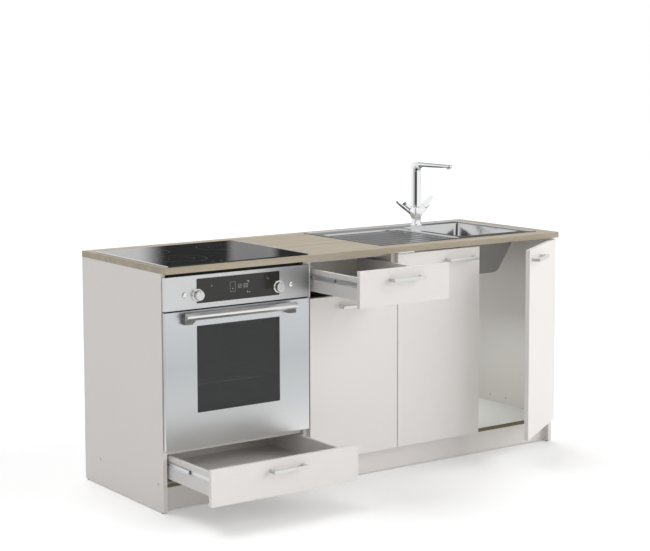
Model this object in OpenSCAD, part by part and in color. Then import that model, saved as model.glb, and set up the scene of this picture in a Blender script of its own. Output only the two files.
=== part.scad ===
// Run of kitchen base cabinets: oven unit, drawer unit and sink unit under one worktop.
// Origin: back left corner on the floor. +X runs along the front, -Y faces the room, +Z is up.
// The drawers and the right sink door are drawn open, which is the rest pose.

/* [Carcasses] */
// Width of the unit that holds the oven and the hob
oven_unit_w = 600; // [580:1:640]
// Width of the unit with a drawer over a door
drawer_unit_w = 400; // [350:1:500]
// Width of the unit under the sink
sink_unit_w = 800; // [780:1:1000]
// Depth of the side panels
carcass_d = 570; // [560:1:600]
// Thickness of every carcass board
board_t = 16; // [12:0.5:19]
// Height of the carcass floors' undersides, which is the height of the toe space
toe_h = 90; // [80:1:150]
// How far the plinth's face stands back from the side panels' front edges
plinth_setback = 25; // [20:1:50]
// Height of the plastic glides under the panels
glide_h = 3; // [2:0.5:6]
// Gap between the plinth and the floor
plinth_floor_gap = 4; // [2:0.5:8]
// Width of the cross rails that tie the side panels together
rail_w = 80; // [60:1:85]

/* [Worktop] */
// Height of the worktop's upper face
worktop_top_z = 850; // [850:1:950]
// Thickness of the worktop
worktop_t = 22; // [20:1:40]
// How far the worktop stands out in front of the side panels
worktop_overhang = 30; // [28:1:50]

/* [Doors and drawer fronts] */
// Thickness of the doors and drawer fronts
front_t = 16; // [15:0.5:19]
// Gap left behind the fronts by their bumpers
front_gap = 2; // [1:0.5:3]
// Gap between a front and the line of its unit's side
reveal = 2; // [1.5:0.25:3]
// Gap between the top edges of the fronts and the worktop
top_gap = 7; // [3:0.5:10]
// Gap between the upper drawer front and the door under it
front_line_gap = 3; // [2:0.5:5]
// How far the fronts overlap the carcass floor downwards from its upper face
floor_overlap = 12; // [8:0.5:14]
// Height of the upper drawer front
drawer_front_h = 128; // [110:1:180]
// How far the upper drawer stands open at rest
upper_drawer_open = 295; // [0:1:400]
// How far the lower drawer stands open at rest
lower_drawer_open = 290; // [0:1:400]
// How far the right sink door stands open at rest, in degrees
sink_door_angle = 32.3; // [0:0.1:90]

/* [Drawer boxes] */
// Thickness of the drawer sides and backs
drawer_side_t = 12; // [10:0.5:16]
// Height of the drawer sides
drawer_side_h = 80; // [60:1:85]
// Length of the drawer box behind its front
drawer_box_l = 490; // [400:1:500]
// Room at each side of a drawer box for its slide
slide_room = 9; // [9:0.5:12.7]
// Height of the groove in the drawer side that takes the slide
groove_h = 18; // [17.5:0.5:24]
// Depth of that groove
groove_d = 6; // [5:0.5:7]
// Length of each slide member
slide_l = 480; // [400:10:480]
// Thickness of the drawer bases
drawer_base_t = 3; // [3:0.5:6]

/* [Handles] */
// Centre distance of a bar handle's two posts
handle_pitch = 128; // [96:32:160]
// Height of the handle bar
handle_bar_h = 13; // [9:0.5:16]
// Depth of the handle bar, front to back
handle_bar_d = 9; // [7:0.5:11]
// Free depth behind the handle bar
handle_grip = 23; // [20:0.5:30]
// Width of the bar handle's legs, which stand at its very ends
handle_leg_w = 12; // [8:1:16]
// Distance from a front's top edge to the middle of its handle
handle_drop = 39; // [30:1:55]
// The same distance on the lower drawer
low_handle_drop = 35; // [25:1:55]
// Distance from a sink door's free edge to the end of its handle
door_handle_edge = 29; // [20:1:60]

/* [Oven] */
// Gap between the oven's steel front and the line of its unit's side
oven_side_gap = 2.5; // [1.5:0.5:8]
// Height of the oven's whole front, panel and door
oven_front_h = 595; // [590:1:600]
// How far the oven's top edge lies below the top edges of the fronts
oven_drop = 5.5; // [3:0.5:8]
// Height of the control panel
panel_h = 115; // [100:1:130]
// Gap between the control panel and the oven door
oven_gap = 5.5; // [4:0.5:8]
// Width of the steel at each side of the window and of the display above it
window_margin = 127; // [100:1:150]
// Height of the window in the door
window_h = 301; // [240:1:320]
// Height from the door's lower edge to the window's lower edge
window_sill = 119; // [100:1:130]
// Height of the black display
display_h = 85; // [60:1:90]
// Diameter of the turning knobs
knob_d = 38; // [30:1:44]
// How far the knobs stand out of the panel
knob_l = 19; // [12:0.5:24]
// Distance from the display's ends inwards to the knobs' axes
knob_in = 3.5; // [0:0.5:10]
// Diameter of the round push buttons
button_d = 19; // [12:0.5:20]
// Distance from a knob's axis outwards to the button's axis
button_out = 51; // [45:1:70]
// Distance from the door's sides to the ends of its handle bar
oven_handle_margin = 69; // [50:1:100]
// Room between the oven's body and its cooking space at each side
cavity_side = 60; // [50:1:80]
// Inside height of the cooking space
cavity_h = 330; // [300:1:340]
// Inside depth of the cooking space
cavity_d = 410; // [380:1:420]

/* [Hob] */
// Distance from the glass to the line of its unit's side
hob_side_gap = 12; // [5:1:25]
// Depth of the glass
hob_d = 506; // [490:1:510]
// Thickness of the glass
hob_t = 4; // [4:0.5:6]
// Distance from the worktop's front edge to the glass
hob_front = 10; // [10:1:25]
// Depth of the hob's body under the worktop's upper face
hob_depth = 47; // [40:1:50]

/* [Sink] */
// Length of the sink's rim along the worktop
sink_l = 788; // [760:1:800]
// Depth of the rim, front to back
sink_d = 508; // [495:1:515]
// Distance from the wall to the rim
sink_back = 32; // [30:1:36]
// Distance from the right end of the worktop to the rim
sink_right = 54; // [45:1:60]
// Length of the bowl's mouth along the worktop
bowl_l = 300; // [280:1:320]
// Width of the bowl's mouth
bowl_w = 375; // [340:1:380]
// Depth of the bowl
bowl_depth = 168; // [130:1:180]
// How far each wall of the bowl leans in on its way down
bowl_taper = 56; // [20:1:60]
// Thickness of the sink's sheet steel
sheet_t = 1.2; // [0.8:0.1:2]
// Diameter of the tail of the waste outlet
waste_d = 47.8; // [40:0.1:50]

/* [Tap] */
// Height of the spout's top above the worktop
tap_h = 258; // [220:1:300]
// Reach of the spout from the column's axis
spout_reach = 224; // [180:1:240]
// Width of the column
column_w = 32; // [24:0.5:34]
// Depth of the column
column_d = 33; // [26:0.5:36]
// Angle of the lever arms above the horizontal
lever_angle = 36; // [28:1:45]
// Height at which the lever arms' axes cross, above the sink's deck
arm_rise = 43; // [35:1:50]
// Length of each arm from there to its lever
arm_l = 48; // [44:1:60]
// Length of the levers
lever_l = 72; // [50:1:80]

/* [Hidden] */
$fn = 48;

// Lines along the run
run_l = oven_unit_w + drawer_unit_w + sink_unit_w;
drawer_unit_x = oven_unit_w;
sink_unit_x = oven_unit_w + drawer_unit_w;

// Lines in depth
panel_y = -carcass_d;
worktop_d = carcass_d + worktop_overhang;
front_back_y = panel_y - front_gap;
front_y = front_back_y - front_t;
plinth_y = panel_y + plinth_setback;
joint_gap = 0.2;
rear_gap = 4;

// Lines in height
worktop_z = worktop_top_z - worktop_t;
floor_top_z = toe_h + board_t;
fronts_low_z = floor_top_z - floor_overlap;
fronts_high_z = worktop_z - top_gap;
upper_front_low_z = fronts_high_z - drawer_front_h;
door_high_z = upper_front_low_z - front_line_gap;

// Oven front, set on its shelf
oven_cx = oven_unit_w / 2;
oven_front_w = oven_unit_w - 2 * oven_side_gap;
oven_high_z = fronts_high_z - oven_drop;
oven_low_z = oven_high_z - oven_front_h;
oven_shelf_gap = 3;
oven_shelf_top_z = oven_low_z - oven_shelf_gap;
lower_front_high_z = oven_shelf_top_z;
oven_door_high_z = oven_high_z - panel_h - oven_gap;
oven_body_gap = 4;
oven_body_w = oven_unit_w - 2 * board_t - 2 * oven_body_gap;
oven_face_setback = 22;
oven_face_y = panel_y + oven_face_setback;
oven_hob_gap = 9;
oven_body_top_z = worktop_top_z - hob_depth - oven_hob_gap;
cavity_rise = 76;
cavity_z = oven_low_z + cavity_rise;
cavity_w = oven_body_w - 2 * cavity_side;
rung_pitch = 60;
rung_t = 3;
window_w = oven_front_w - 2 * window_margin;
knob_offset = window_w / 2 - knob_in;
button_offset = knob_offset + button_out;
oven_handle_l = oven_front_w - 2 * oven_handle_margin;
cavity_wall = 2;
casing_t = 2;
door_inner_w = oven_body_w - 4;
oven_pivot_y = front_y + 5.5;
oven_pivot_z = oven_low_z + 9.5;
door_skin = 1.5;
door_fold = 13;
oven_arm_t = 4;
oven_arm_h = 6;
display_z = oven_high_z - 12.5 - display_h;
knob_z = oven_high_z - 68.5;
button_z = oven_high_z - 64.5;

// Drawers
drawer_base_rise = 8;
upper_box_z = upper_front_low_z + 20;
lower_box_z = fronts_low_z + 24;
groove_top_rise = 27;
member_h = groove_h - 1.4;
rail_z_in_box = drawer_side_h - groove_top_rise - groove_h / 2;

// Hinges
cup_d = 35;
cup_depth = 12;
cup_edge = 21.5;
hinge_inset = 90;
hinge_pivot_x = 4;
hinge_pivot_y = front_y + 4;
nose_r = [13, 4];
nose_x = reveal + hinge_pivot_x + nose_r[0] - board_t;
nose_y = nose_r[1];
cup_pin_d = 4;
cup_pin_r = norm(nose_r) - 0.4 - cup_pin_d / 2;
cup_pin_x = cup_pin_r * cos(50);
cup_pin_y = cup_pin_r * sin(50);
cup_pin_l = 24;

// Hob, sink and tap
hob_shift = 5;
hob_x = oven_cx + hob_shift;
hob_w = oven_unit_w - 2 * hob_side_gap;
hob_y = -worktop_d + hob_front;
hob_trim_w = 4;
sink_x = run_l - sink_right - sink_l;
sink_y = -sink_back - sink_d;
cutout_inset = 10;
rim_h = 2;
rim_w = 9;
sink_cutout_inset = 5;
deck_inset = sink_cutout_inset + 1;
deck_z = worktop_top_z - 0.8;
bowl_right = 44;
bowl_front = 62;
bowl_x = sink_x + sink_l - bowl_right - bowl_l;
bowl_y = sink_y + bowl_front;
bowl_r = 22;
bowl_cx = bowl_x + bowl_l / 2;
bowl_cy = bowl_y + bowl_w / 2;
bowl_low_z = deck_z - bowl_depth;
drainer_edge = 34;
drainer_back = 88;
drainer_gap = 26;
drainer_x = sink_x + drainer_edge;
drainer_l = bowl_x - drainer_gap - drainer_x;
drainer_y = sink_y + drainer_edge;
drainer_w = sink_d - drainer_edge - drainer_back;
drainer_depth = 7;
rib_count = 6;
tap_from_bowl = 108;
tap_x = bowl_x + tap_from_bowl;
tap_base_d = 46;
tap_y = -sink_back - rim_w - tap_base_d / 2 - 1;
tap_z = deck_z + joint_gap;
arm_d = 26;
column_r = 6;
swivel_r = norm([column_w, column_d]) / 2 + 1;
tap_body_h = arm_rise + swivel_r * tan(lever_angle) + arm_d / 2 / cos(lever_angle);
column_low_z = tap_z + tap_body_h + joint_gap;
spout_top_z = worktop_top_z + tap_h;

// Colours
white_front = [0.89, 0.87, 0.86];
carcass_grey = [0.77, 0.75, 0.73];
oak = [0.74, 0.69, 0.6];
steel = [0.72, 0.73, 0.74];
dark_glass = [0.22, 0.23, 0.23];

// Rectangle with its lower left corner at the origin and round corners
module round_rect(w, h, r) {
    translate([r, 0]) square([w - 2 * r, h]);
    translate([0, r]) square([w, h - 2 * r]);
    for (x = [r, w - r], y = [r, h - r]) translate([x, y]) circle(r);
}

// Cylinder along Y from the given point towards -Y
module rod_y(p, d, l) {
    translate(p) rotate([90, 0, 0]) cylinder(d = d, h = l);
}

// Side panels. Only the end panels run down in front of the plinth.
module side_panel(x, notched) {
    difference() {
        translate([x, panel_y, glide_h]) cube([board_t, carcass_d, worktop_z - glide_h]);
        if (notched)
            translate([x - 1, panel_y - 1, 0])
                cube([board_t + 2, plinth_setback + board_t + 2, toe_h]);
    }
}

module oven_unit_sides() {
    color(carcass_grey) {
        side_panel(0, false);
        side_panel(oven_unit_w - board_t, true);
    }
}

module drawer_unit_sides() {
    color(carcass_grey) {
        side_panel(drawer_unit_x, true);
        side_panel(sink_unit_x - board_t, true);
    }
}

module sink_unit_sides() {
    color(carcass_grey) {
        side_panel(sink_unit_x, true);
        side_panel(run_l - board_t, false);
    }
}

// What is repeated in each unit: its left line and its width
UNITS = [[0, oven_unit_w], [drawer_unit_x, drawer_unit_w], [sink_unit_x, sink_unit_w]];

module between_sides(unit, y, z, d, h) {
    translate([unit[0] + board_t, y, z]) cube([unit[1] - 2 * board_t, d, h]);
}

module carcass_floors() {
    color([0.86, 0.85, 0.82])
        for (unit = UNITS) between_sides(unit, panel_y, toe_h, carcass_d - rear_gap, board_t);
}

// A flat rail in front of the drawer unit and upright rails at the back of every unit.
// The hob and the sink take the front rails' place in their units.
module cross_rails() {
    rail_setback = 30;
    color(carcass_grey) {
        between_sides(UNITS[1], panel_y + rail_setback, worktop_z - board_t, rail_w, board_t);
        for (unit = UNITS) {
            between_sides(unit, -board_t, worktop_z - rail_w, board_t, rail_w);
            between_sides(unit, -board_t - rear_gap, floor_top_z, board_t, rail_w);
        }
    }
}

module drawer_unit_back() {
    back_t = 3;
    color([0.86, 0.85, 0.82])
        translate([drawer_unit_x + board_t, -board_t - rear_gap - back_t, floor_top_z])
            cube([drawer_unit_w - 2 * board_t, back_t, worktop_z - floor_top_z]);
}

module plinth() {
    color(carcass_grey)
        translate([board_t, plinth_y, plinth_floor_gap])
            cube([run_l - 2 * board_t, board_t, toe_h - plinth_floor_gap]);
}

module floor_glides() {
    glide_d = board_t - 2;
    panels = [
        0, oven_unit_w - board_t, drawer_unit_x, sink_unit_x - board_t, sink_unit_x, run_l - board_t
    ];
    color([0.2, 0.2, 0.2])
        for (i = [0 : len(panels) - 1]) {
            inner = i > 0 && i < len(panels) - 1;
            front = inner ? plinth_y + board_t + glide_d : panel_y + glide_d;
            for (y = [front, -glide_d])
                translate([panels[i] + board_t / 2, y, 0]) cylinder(d = glide_d, h = glide_h);
        }
}

module worktop() {
    edge_r = 2;
    color(oak)
        difference() {
            translate([0, -worktop_d, worktop_z]) union() {
                translate([0, edge_r, 0]) cube([run_l, worktop_d - edge_r, worktop_t]);
                cube([run_l, edge_r + 1, worktop_t - edge_r]);
                translate([0, edge_r, worktop_t - edge_r]) rotate([0, 90, 0])
                    cylinder(r = edge_r, h = run_l);
            }
            translate([hob_x - hob_w / 2 + cutout_inset, hob_y + cutout_inset, worktop_z - 1])
                cube([hob_w - 2 * cutout_inset, hob_d - 2 * cutout_inset, worktop_t + 2]);
            translate([sink_x + sink_cutout_inset, sink_y + sink_cutout_inset, worktop_z - 1])
                cube([sink_l - 2 * sink_cutout_inset, sink_d - 2 * sink_cutout_inset, worktop_t + 2]);
        }
}

// Oven shelf, a hand's width above the lower drawer
module oven_shelf() {
    front_room = 12;
    air_room = 48;
    color(carcass_grey)
        between_sides(UNITS[0], panel_y + front_room, oven_shelf_top_z - board_t,
                      carcass_d - front_room - air_room, board_t);
}

shelf_z = floor_top_z + 0.45 * (door_high_z - floor_top_z);
shelf_setback = 30;
pin_d = 5;
module cupboard_shelf() {
    side_gap = 1;
    back_room = board_t + 12;
    shelf_w = drawer_unit_w - 2 * (board_t + side_gap);
    color([0.86, 0.85, 0.82])
        translate([drawer_unit_x + board_t + side_gap, panel_y + shelf_setback, shelf_z])
            cube([shelf_w, carcass_d - shelf_setback - back_room, board_t]);
}

module shelf_pins() {
    pin_out = 9;
    end_room = 80;
    pin_z = shelf_z - pin_d / 2 - joint_gap;
    color("silver")
        for (x = [drawer_unit_x + board_t, sink_unit_x - board_t - pin_out],
             y = [panel_y + end_room, -end_room])
            translate([x, y, pin_z]) rotate([0, 90, 0]) cylinder(d = pin_d, h = pin_out);
}

// Front board between two lines along the run and two lines in height
module front_board(x0, x1, z0, z1) {
    translate([x0, front_y, z0]) cube([x1 - x0, front_t, z1 - z0]);
}

// Bar handle: a bar with rounded edges on two legs flush with its ends, middle at [x, z]
module bar_handle(x, z) {
    bar_l = handle_pitch + handle_leg_w;
    edge_r = 3;
    color([0.75, 0.75, 0.74])
        translate([x - bar_l / 2, front_y - handle_grip, z - handle_bar_h / 2]) {
            rotate([90, 0, 90]) linear_extrude(bar_l) mirror([1, 0])
                round_rect(handle_bar_d, handle_bar_h, edge_r);
            for (leg_x = [0, bar_l - handle_leg_w])
                translate([leg_x, -edge_r, 0.5])
                    cube([handle_leg_w, handle_grip + edge_r, handle_bar_h - 1]);
        }
}

// Drawers
module drawer_box(unit, box_z) {
    x0 = unit[0] + board_t + slide_room;
    box_w = unit[1] - 2 * (board_t + slide_room);
    color([0.72, 0.71, 0.7])
        difference() {
            translate([x0, front_back_y, box_z]) union() {
                cube([drawer_side_t, drawer_box_l, drawer_side_h]);
                translate([box_w - drawer_side_t, 0, 0])
                    cube([drawer_side_t, drawer_box_l, drawer_side_h]);
                translate([drawer_side_t, drawer_box_l - drawer_side_t, 0])
                    cube([box_w - 2 * drawer_side_t, drawer_side_t, drawer_side_h]);
                translate([drawer_side_t / 2, 0, drawer_base_rise])
                    cube([box_w - drawer_side_t, drawer_box_l - drawer_side_t / 2, drawer_base_t]);
            }
            for (x = [x0 - 1, x0 + box_w - groove_d])
                translate([x, front_back_y - 1, box_z + rail_z_in_box])
                    cube([groove_d + 1, drawer_box_l + 2, groove_h]);
        }
}

// The three members of one ball slide, left hand, drawn shut; each is a folded strip
fixed_web = 1.2;
module slide_strip(x, y, z, h, t, l) {
    translate([x, y, z]) union() {
        cube([fixed_web, l, h]);
        cube([t, l, fixed_web]);
        translate([0, 0, h - fixed_web]) cube([t, l, fixed_web]);
    }
}

module mirrored_pair(unit) {
    children();
    translate([2 * unit[0] + unit[1], 0, 0]) mirror([1, 0, 0]) children();
}

slide_gap = 0.35;
slide_y = front_back_y + 4;
// Across its thickness the slide holds the fixed strip, the middle strip and the drawer's strip
slide_total = slide_room + groove_d;
module fixed_slide(unit, box_z) {
    z = box_z + rail_z_in_box + (groove_h - member_h) / 2;
    color("silver") mirrored_pair(unit)
        slide_strip(unit[0] + board_t, slide_y, z, member_h, slide_room - 1.5, slide_l);
}

module middle_slide(unit, box_z) {
    inset = fixed_web + slide_gap;
    z = box_z + rail_z_in_box + (groove_h - member_h) / 2 + inset;
    h = member_h - 2 * inset;
    x = unit[0] + board_t + inset;
    t = slide_total - 2 * fixed_web - 2 * slide_gap;
    end_room = 12;
    l = slide_l - 2 * end_room;
    color([0.6, 0.6, 0.6]) mirrored_pair(unit) translate([x, slide_y + end_room, z]) union() {
        cube([t, l, fixed_web]);
        translate([0, 0, h - fixed_web]) cube([t, l, fixed_web]);
        translate([t / 2 - fixed_web, 0, 0]) cube([2 * fixed_web, l, h]);
    }
}

module drawer_slide(unit, box_z) {
    z = box_z + rail_z_in_box + (groove_h - member_h) / 2;
    x = unit[0] + board_t + slide_total - fixed_web;
    t = groove_d - 0.5;
    color("silver") mirrored_pair(unit) translate([x, slide_y, z]) union() {
        cube([fixed_web, slide_l, member_h]);
        translate([fixed_web - t, 0, 0]) cube([t, slide_l, fixed_web]);
        translate([fixed_web - t, 0, member_h - fixed_web]) cube([t, slide_l, fixed_web]);
    }
}

module slide_rails_fixed() {
    fixed_slide(UNITS[1], upper_box_z);
    fixed_slide(UNITS[0], lower_box_z);
}

module opened(distance) {
    translate([0, -distance, 0]) children();
}

module upper_drawer_slides() opened(upper_drawer_open / 2) middle_slide(UNITS[1], upper_box_z);
module upper_drawer_rails() opened(upper_drawer_open) drawer_slide(UNITS[1], upper_box_z);
module upper_drawer_box() opened(upper_drawer_open) drawer_box(UNITS[1], upper_box_z);
module upper_drawer_front() {
    color(white_front) opened(upper_drawer_open)
        front_board(drawer_unit_x + reveal, sink_unit_x - reveal, upper_front_low_z, fronts_high_z);
}
module upper_drawer_handle() {
    opened(upper_drawer_open) bar_handle(unit_door_cx, handle_z);
}

module lower_drawer_slides() opened(lower_drawer_open / 2) middle_slide(UNITS[0], lower_box_z);
module lower_drawer_rails() opened(lower_drawer_open) drawer_slide(UNITS[0], lower_box_z);
module lower_drawer_box() opened(lower_drawer_open) drawer_box(UNITS[0], lower_box_z);
module lower_drawer_front() {
    color(white_front) opened(lower_drawer_open)
        front_board(reveal, oven_unit_w - reveal, fronts_low_z, lower_front_high_z);
}
module lower_drawer_handle() {
    opened(lower_drawer_open) bar_handle(oven_cx, lower_front_high_z - low_handle_drop);
}

// Doors. A door is described by its hinge edge, which way it runs from there, its width and its heights.
module cup_holes(edge_x, way, low_z, high_z) {
    for (z = [low_z + hinge_inset, high_z - hinge_inset])
        rod_y([edge_x + way * cup_edge, front_back_y + 1, z], cup_d, cup_depth + 1);
}

module hinged_door(edge_x, way, w, low_z, high_z) {
    x0 = way > 0 ? edge_x : edge_x - w;
    color(white_front) difference() {
        front_board(x0, x0 + w, low_z, high_z);
        cup_holes(edge_x, way, low_z, high_z);
    }
}

// Steel cup, its flange on the door's inner face and the short link inside it
module hinge_cups(edge_x, way, low_z, high_z) {
    cup_wall = 1;
    cup_l = cup_depth - 0.3;
    ear = [14, 1.2, 16];
    ear_rise = 24;
    pin_x = cup_pin_x - cup_edge + hinge_pivot_x;
    color("silver") for (z = [low_z + hinge_inset, high_z - hinge_inset])
        translate([edge_x + way * cup_edge, 0, z]) {
            difference() {
                rod_y([0, front_back_y, 0], cup_d - joint_gap, cup_l);
                rod_y([0, front_back_y + cup_wall, 0], cup_d - 2 * cup_wall, cup_l);
            }
            for (side = [-1, 1])
                translate([-ear[0] / 2, front_back_y, side * ear_rise - ear[2] / 2]) cube(ear);
            translate([way * pin_x, hinge_pivot_y + cup_pin_y, -cup_pin_l / 2])
                cylinder(d = cup_pin_d, h = cup_pin_l);
        }
}

// Mounting plate on the side panel with the hinge arm, whose nose reaches into the cup.
// The nose stays outside the circle that the door's inner corner and the cup's pin sweep.
module hinge_arm_pair(side_x, way, low_z, high_z) {
    plate = [2, 34, 50];
    arm = [8, 62, 12];
    nose = [11, 32, 10];
    link_t = 5;
    screw_d = 7;
    color("silver") for (z = [low_z + hinge_inset, high_z - hinge_inset]) translate([side_x, 0, z]) {
        scale([way, 1, 1]) {
            translate([0, panel_y + 20, -plate[2] / 2]) cube(plate);
            translate([plate[0], panel_y + 3, -arm[2] / 2]) cube(arm);
            translate([nose_x, hinge_pivot_y + nose_y, -nose[2] / 2]) cube(nose);
            translate([plate[0], panel_y + 10, -nose[2] / 2]) cube([nose_x, link_t, nose[2]]);
            translate([plate[0] + arm[0] - 1, panel_y + 2 * screw_d, 0]) rotate([0, 90, 0])
                cylinder(d = screw_d, h = 3);
        }
    }
}

door_w = sink_unit_w / 2 - 2 * reveal;
handle_from_hinge = door_w - door_handle_edge - (handle_pitch + handle_leg_w) / 2;
unit_door_w = drawer_unit_w - 2 * reveal;
unit_door_edge = drawer_unit_x + reveal;
unit_door_cx = drawer_unit_x + drawer_unit_w / 2;
left_door_edge = sink_unit_x + reveal;
right_door_edge = run_l - reveal;
handle_z = fronts_high_z - handle_drop;
module drawer_unit_door() hinged_door(unit_door_edge, 1, unit_door_w, fronts_low_z, door_high_z);
module drawer_unit_door_hinges() hinge_cups(unit_door_edge, 1, fronts_low_z, door_high_z);
module drawer_unit_door_handle() bar_handle(unit_door_cx, door_high_z - handle_drop);

module sink_door_left() hinged_door(left_door_edge, 1, door_w, fronts_low_z, fronts_high_z);
module sink_door_left_hinges() hinge_cups(left_door_edge, 1, fronts_low_z, fronts_high_z);
module sink_door_left_handle() bar_handle(left_door_edge + handle_from_hinge, handle_z);

right_pivot = [right_door_edge - hinge_pivot_x, hinge_pivot_y, 0];
module opened_right() {
    translate(right_pivot) rotate([0, 0, sink_door_angle]) translate(-right_pivot) children();
}
module sink_door_right() {
    opened_right() hinged_door(right_door_edge, -1, door_w, fronts_low_z, fronts_high_z);
}
module sink_door_right_hinges() {
    opened_right() hinge_cups(right_door_edge, -1, fronts_low_z, fronts_high_z);
}
module sink_door_right_handle() opened_right() bar_handle(right_door_edge - handle_from_hinge, handle_z);

module hinge_arms() {
    hinge_arm_pair(drawer_unit_x + board_t, 1, fronts_low_z, door_high_z);
    hinge_arm_pair(sink_unit_x + board_t, 1, fronts_low_z, fronts_high_z);
    hinge_arm_pair(run_l - board_t, -1, fronts_low_z, fronts_high_z);
}

// Hob
module hob_glass() {
    color([0.13, 0.13, 0.14])
        translate([hob_x - hob_w / 2, hob_y, worktop_top_z + joint_gap])
            linear_extrude(hob_t) round_rect(hob_w, hob_d, 2);
}

// Steel edging on the two short sides: a strip beside the glass with a lip over it
module hob_trim() {
    lip = 0.8;
    color(steel)
        for (side = [-1, 1])
            translate([hob_x + side * (hob_w / 2 + joint_gap), hob_y, worktop_top_z + joint_gap])
                scale([side, 1, 1]) cube([hob_trim_w, hob_d, hob_t + lip]);
}

module hob_tray() {
    side_inset = cutout_inset + 6;
    end_inset = 32;
    tray_h = hob_depth + joint_gap;
    wall = 1;
    tray_w = hob_w - 2 * side_inset;
    tray_d = hob_d - 2 * end_inset;
    color([0.6, 0.61, 0.62])
        translate([hob_x - tray_w / 2, hob_y + end_inset, worktop_top_z - hob_depth])
            difference() {
                cube([tray_w, tray_d, tray_h]);
                translate([wall, wall, wall]) cube([tray_w - 2 * wall, tray_d - 2 * wall, tray_h]);
            }
}

// Sink: a pressed top with a raised rim and a sunk, ribbed drainer, and a tapering bowl welded below
bowl_mouth_z = deck_z - sheet_t;
module bowl_plan(inset, grow) {
    translate([bowl_x + inset - grow, bowl_y + inset - grow])
        round_rect(bowl_l - 2 * (inset - grow), bowl_w - 2 * (inset - grow), bowl_r + grow);
}

// The bowl's tapering form, larger by grow all round and standing over its mouth by the given height
module bowl_solid(grow, low, over) {
    slice = 0.1;
    hull() {
        translate([0, 0, bowl_mouth_z - slice]) linear_extrude(slice + over) bowl_plan(0, grow);
        translate([0, 0, low]) linear_extrude(slice) bowl_plan(bowl_taper, grow);
    }
}

module drainer_field(inset, z, h) {
    corner_r = 16;
    translate([drainer_x + inset, drainer_y + inset, z])
        linear_extrude(h) round_rect(drainer_l - 2 * inset, drainer_w - 2 * inset, corner_r);
}

module sink() {
    rim_z = worktop_top_z + joint_gap;
    tap_hole_d = 34;
    rim_r = 18;
    deck_r = 14;
    step_r = 12;
    color(steel) difference() {
        union() {
            translate([sink_x, sink_y, rim_z]) linear_extrude(rim_h) round_rect(sink_l, sink_d, rim_r);
            translate([sink_x + deck_inset, sink_y + deck_inset, deck_z - sheet_t])
                linear_extrude(rim_z + rim_h / 2 - deck_z + sheet_t)
                    round_rect(sink_l - 2 * deck_inset, sink_d - 2 * deck_inset, deck_r);
            drainer_field(-sheet_t, deck_z - drainer_depth - sheet_t, drainer_depth + sheet_t);
        }
        translate([sink_x + rim_w, sink_y + rim_w, deck_z])
            linear_extrude(rim_h + 3) round_rect(sink_l - 2 * rim_w, sink_d - 2 * rim_w, step_r);
        drainer_field(0, deck_z - drainer_depth, drainer_depth + 3);
        translate([0, 0, bowl_mouth_z - 1]) linear_extrude(rim_h + 3) bowl_plan(0, 0);
        translate([tap_x, tap_y, deck_z - 5]) cylinder(d = tap_hole_d, h = 10);
    }
    rib_end = 20;
    rib_d = 14;
    rib_pitch = drainer_w / (rib_count + 1);
    rib_z = deck_z - drainer_depth - 4;
    color(steel) intersection() {
        union() for (i = [1 : rib_count])
            translate([drainer_x + rib_end, drainer_y + i * rib_pitch, rib_z])
                rotate([0, 90, 0]) cylinder(d = rib_d, h = drainer_l - 2 * rib_end);
        drainer_field(0, deck_z - drainer_depth - sheet_t / 2, drainer_depth);
    }
}

module sink_bowl() {
    weld_w = 5;
    strainer_hole_d = 90;
    color(steel) difference() {
        union() {
            translate([0, 0, bowl_mouth_z - sheet_t]) linear_extrude(sheet_t) bowl_plan(0, weld_w);
            bowl_solid(sheet_t, bowl_low_z - sheet_t, 0);
        }
        bowl_solid(0, bowl_low_z, 1);
        translate([bowl_cx, bowl_cy, bowl_low_z - 5]) cylinder(d = strainer_hole_d, h = 10);
    }
}

// Basket strainer: a flanged cup in the bowl's floor, its perforated basket and the threaded tail
module sink_waste() {
    flange_z = bowl_low_z + joint_gap;
    cup_h = 42;
    cup_od = 86;
    cup_id = 82;
    nut_rise = 12;
    tail_h = 45;
    tail_wall = 2.5;
    basket_drop = 14;
    basket_d = 81.4;
    basket_wall = 2.2;
    basket_floor_t = 1.2;
    color("silver") translate([bowl_cx, bowl_cy, flange_z]) {
        difference() {
            union() {
                cylinder(d = 112, h = 1.6);
                translate([0, 0, -cup_h]) cylinder(d = cup_od, h = cup_h + 1);
                translate([0, 0, -nut_rise]) cylinder(d = cup_od + 14, h = 8);
                translate([0, 0, -cup_h - tail_h]) cylinder(d = waste_d, h = tail_h + 1);
            }
            translate([0, 0, 2 - cup_h]) cylinder(d = cup_id, h = cup_h + 5);
            translate([0, 0, -cup_h - tail_h - 1]) cylinder(d = waste_d - 2 * tail_wall, h = tail_h + 5);
        }
        translate([0, 0, -basket_drop]) difference() {
            union() {
                cylinder(d = 78, h = basket_floor_t);
                cylinder(d1 = 10, d2 = 14, h = 22);
                difference() {
                    cylinder(d = basket_d, h = basket_drop);
                    translate([0, 0, -1]) cylinder(d = basket_d - 2 * basket_wall, h = basket_drop + 2);
                }
            }
            for (ring = [18, 28], a = [0 : 30 : 330])
                rotate([0, 0, a]) translate([ring, 0, -1])
                    cylinder(d = 4, h = basket_floor_t + 2, $fn = 16);
        }
    }
}

// Tap: base ring, body that branches into two arms, swivelling column with a flat spout, two levers
lever_gap = 0.3;
module on_arm(side) {
    translate([tap_x, tap_y, tap_z + arm_rise])
        scale([side, 1, 1]) rotate([0, 90 - lever_angle, 0]) children();
}

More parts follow.
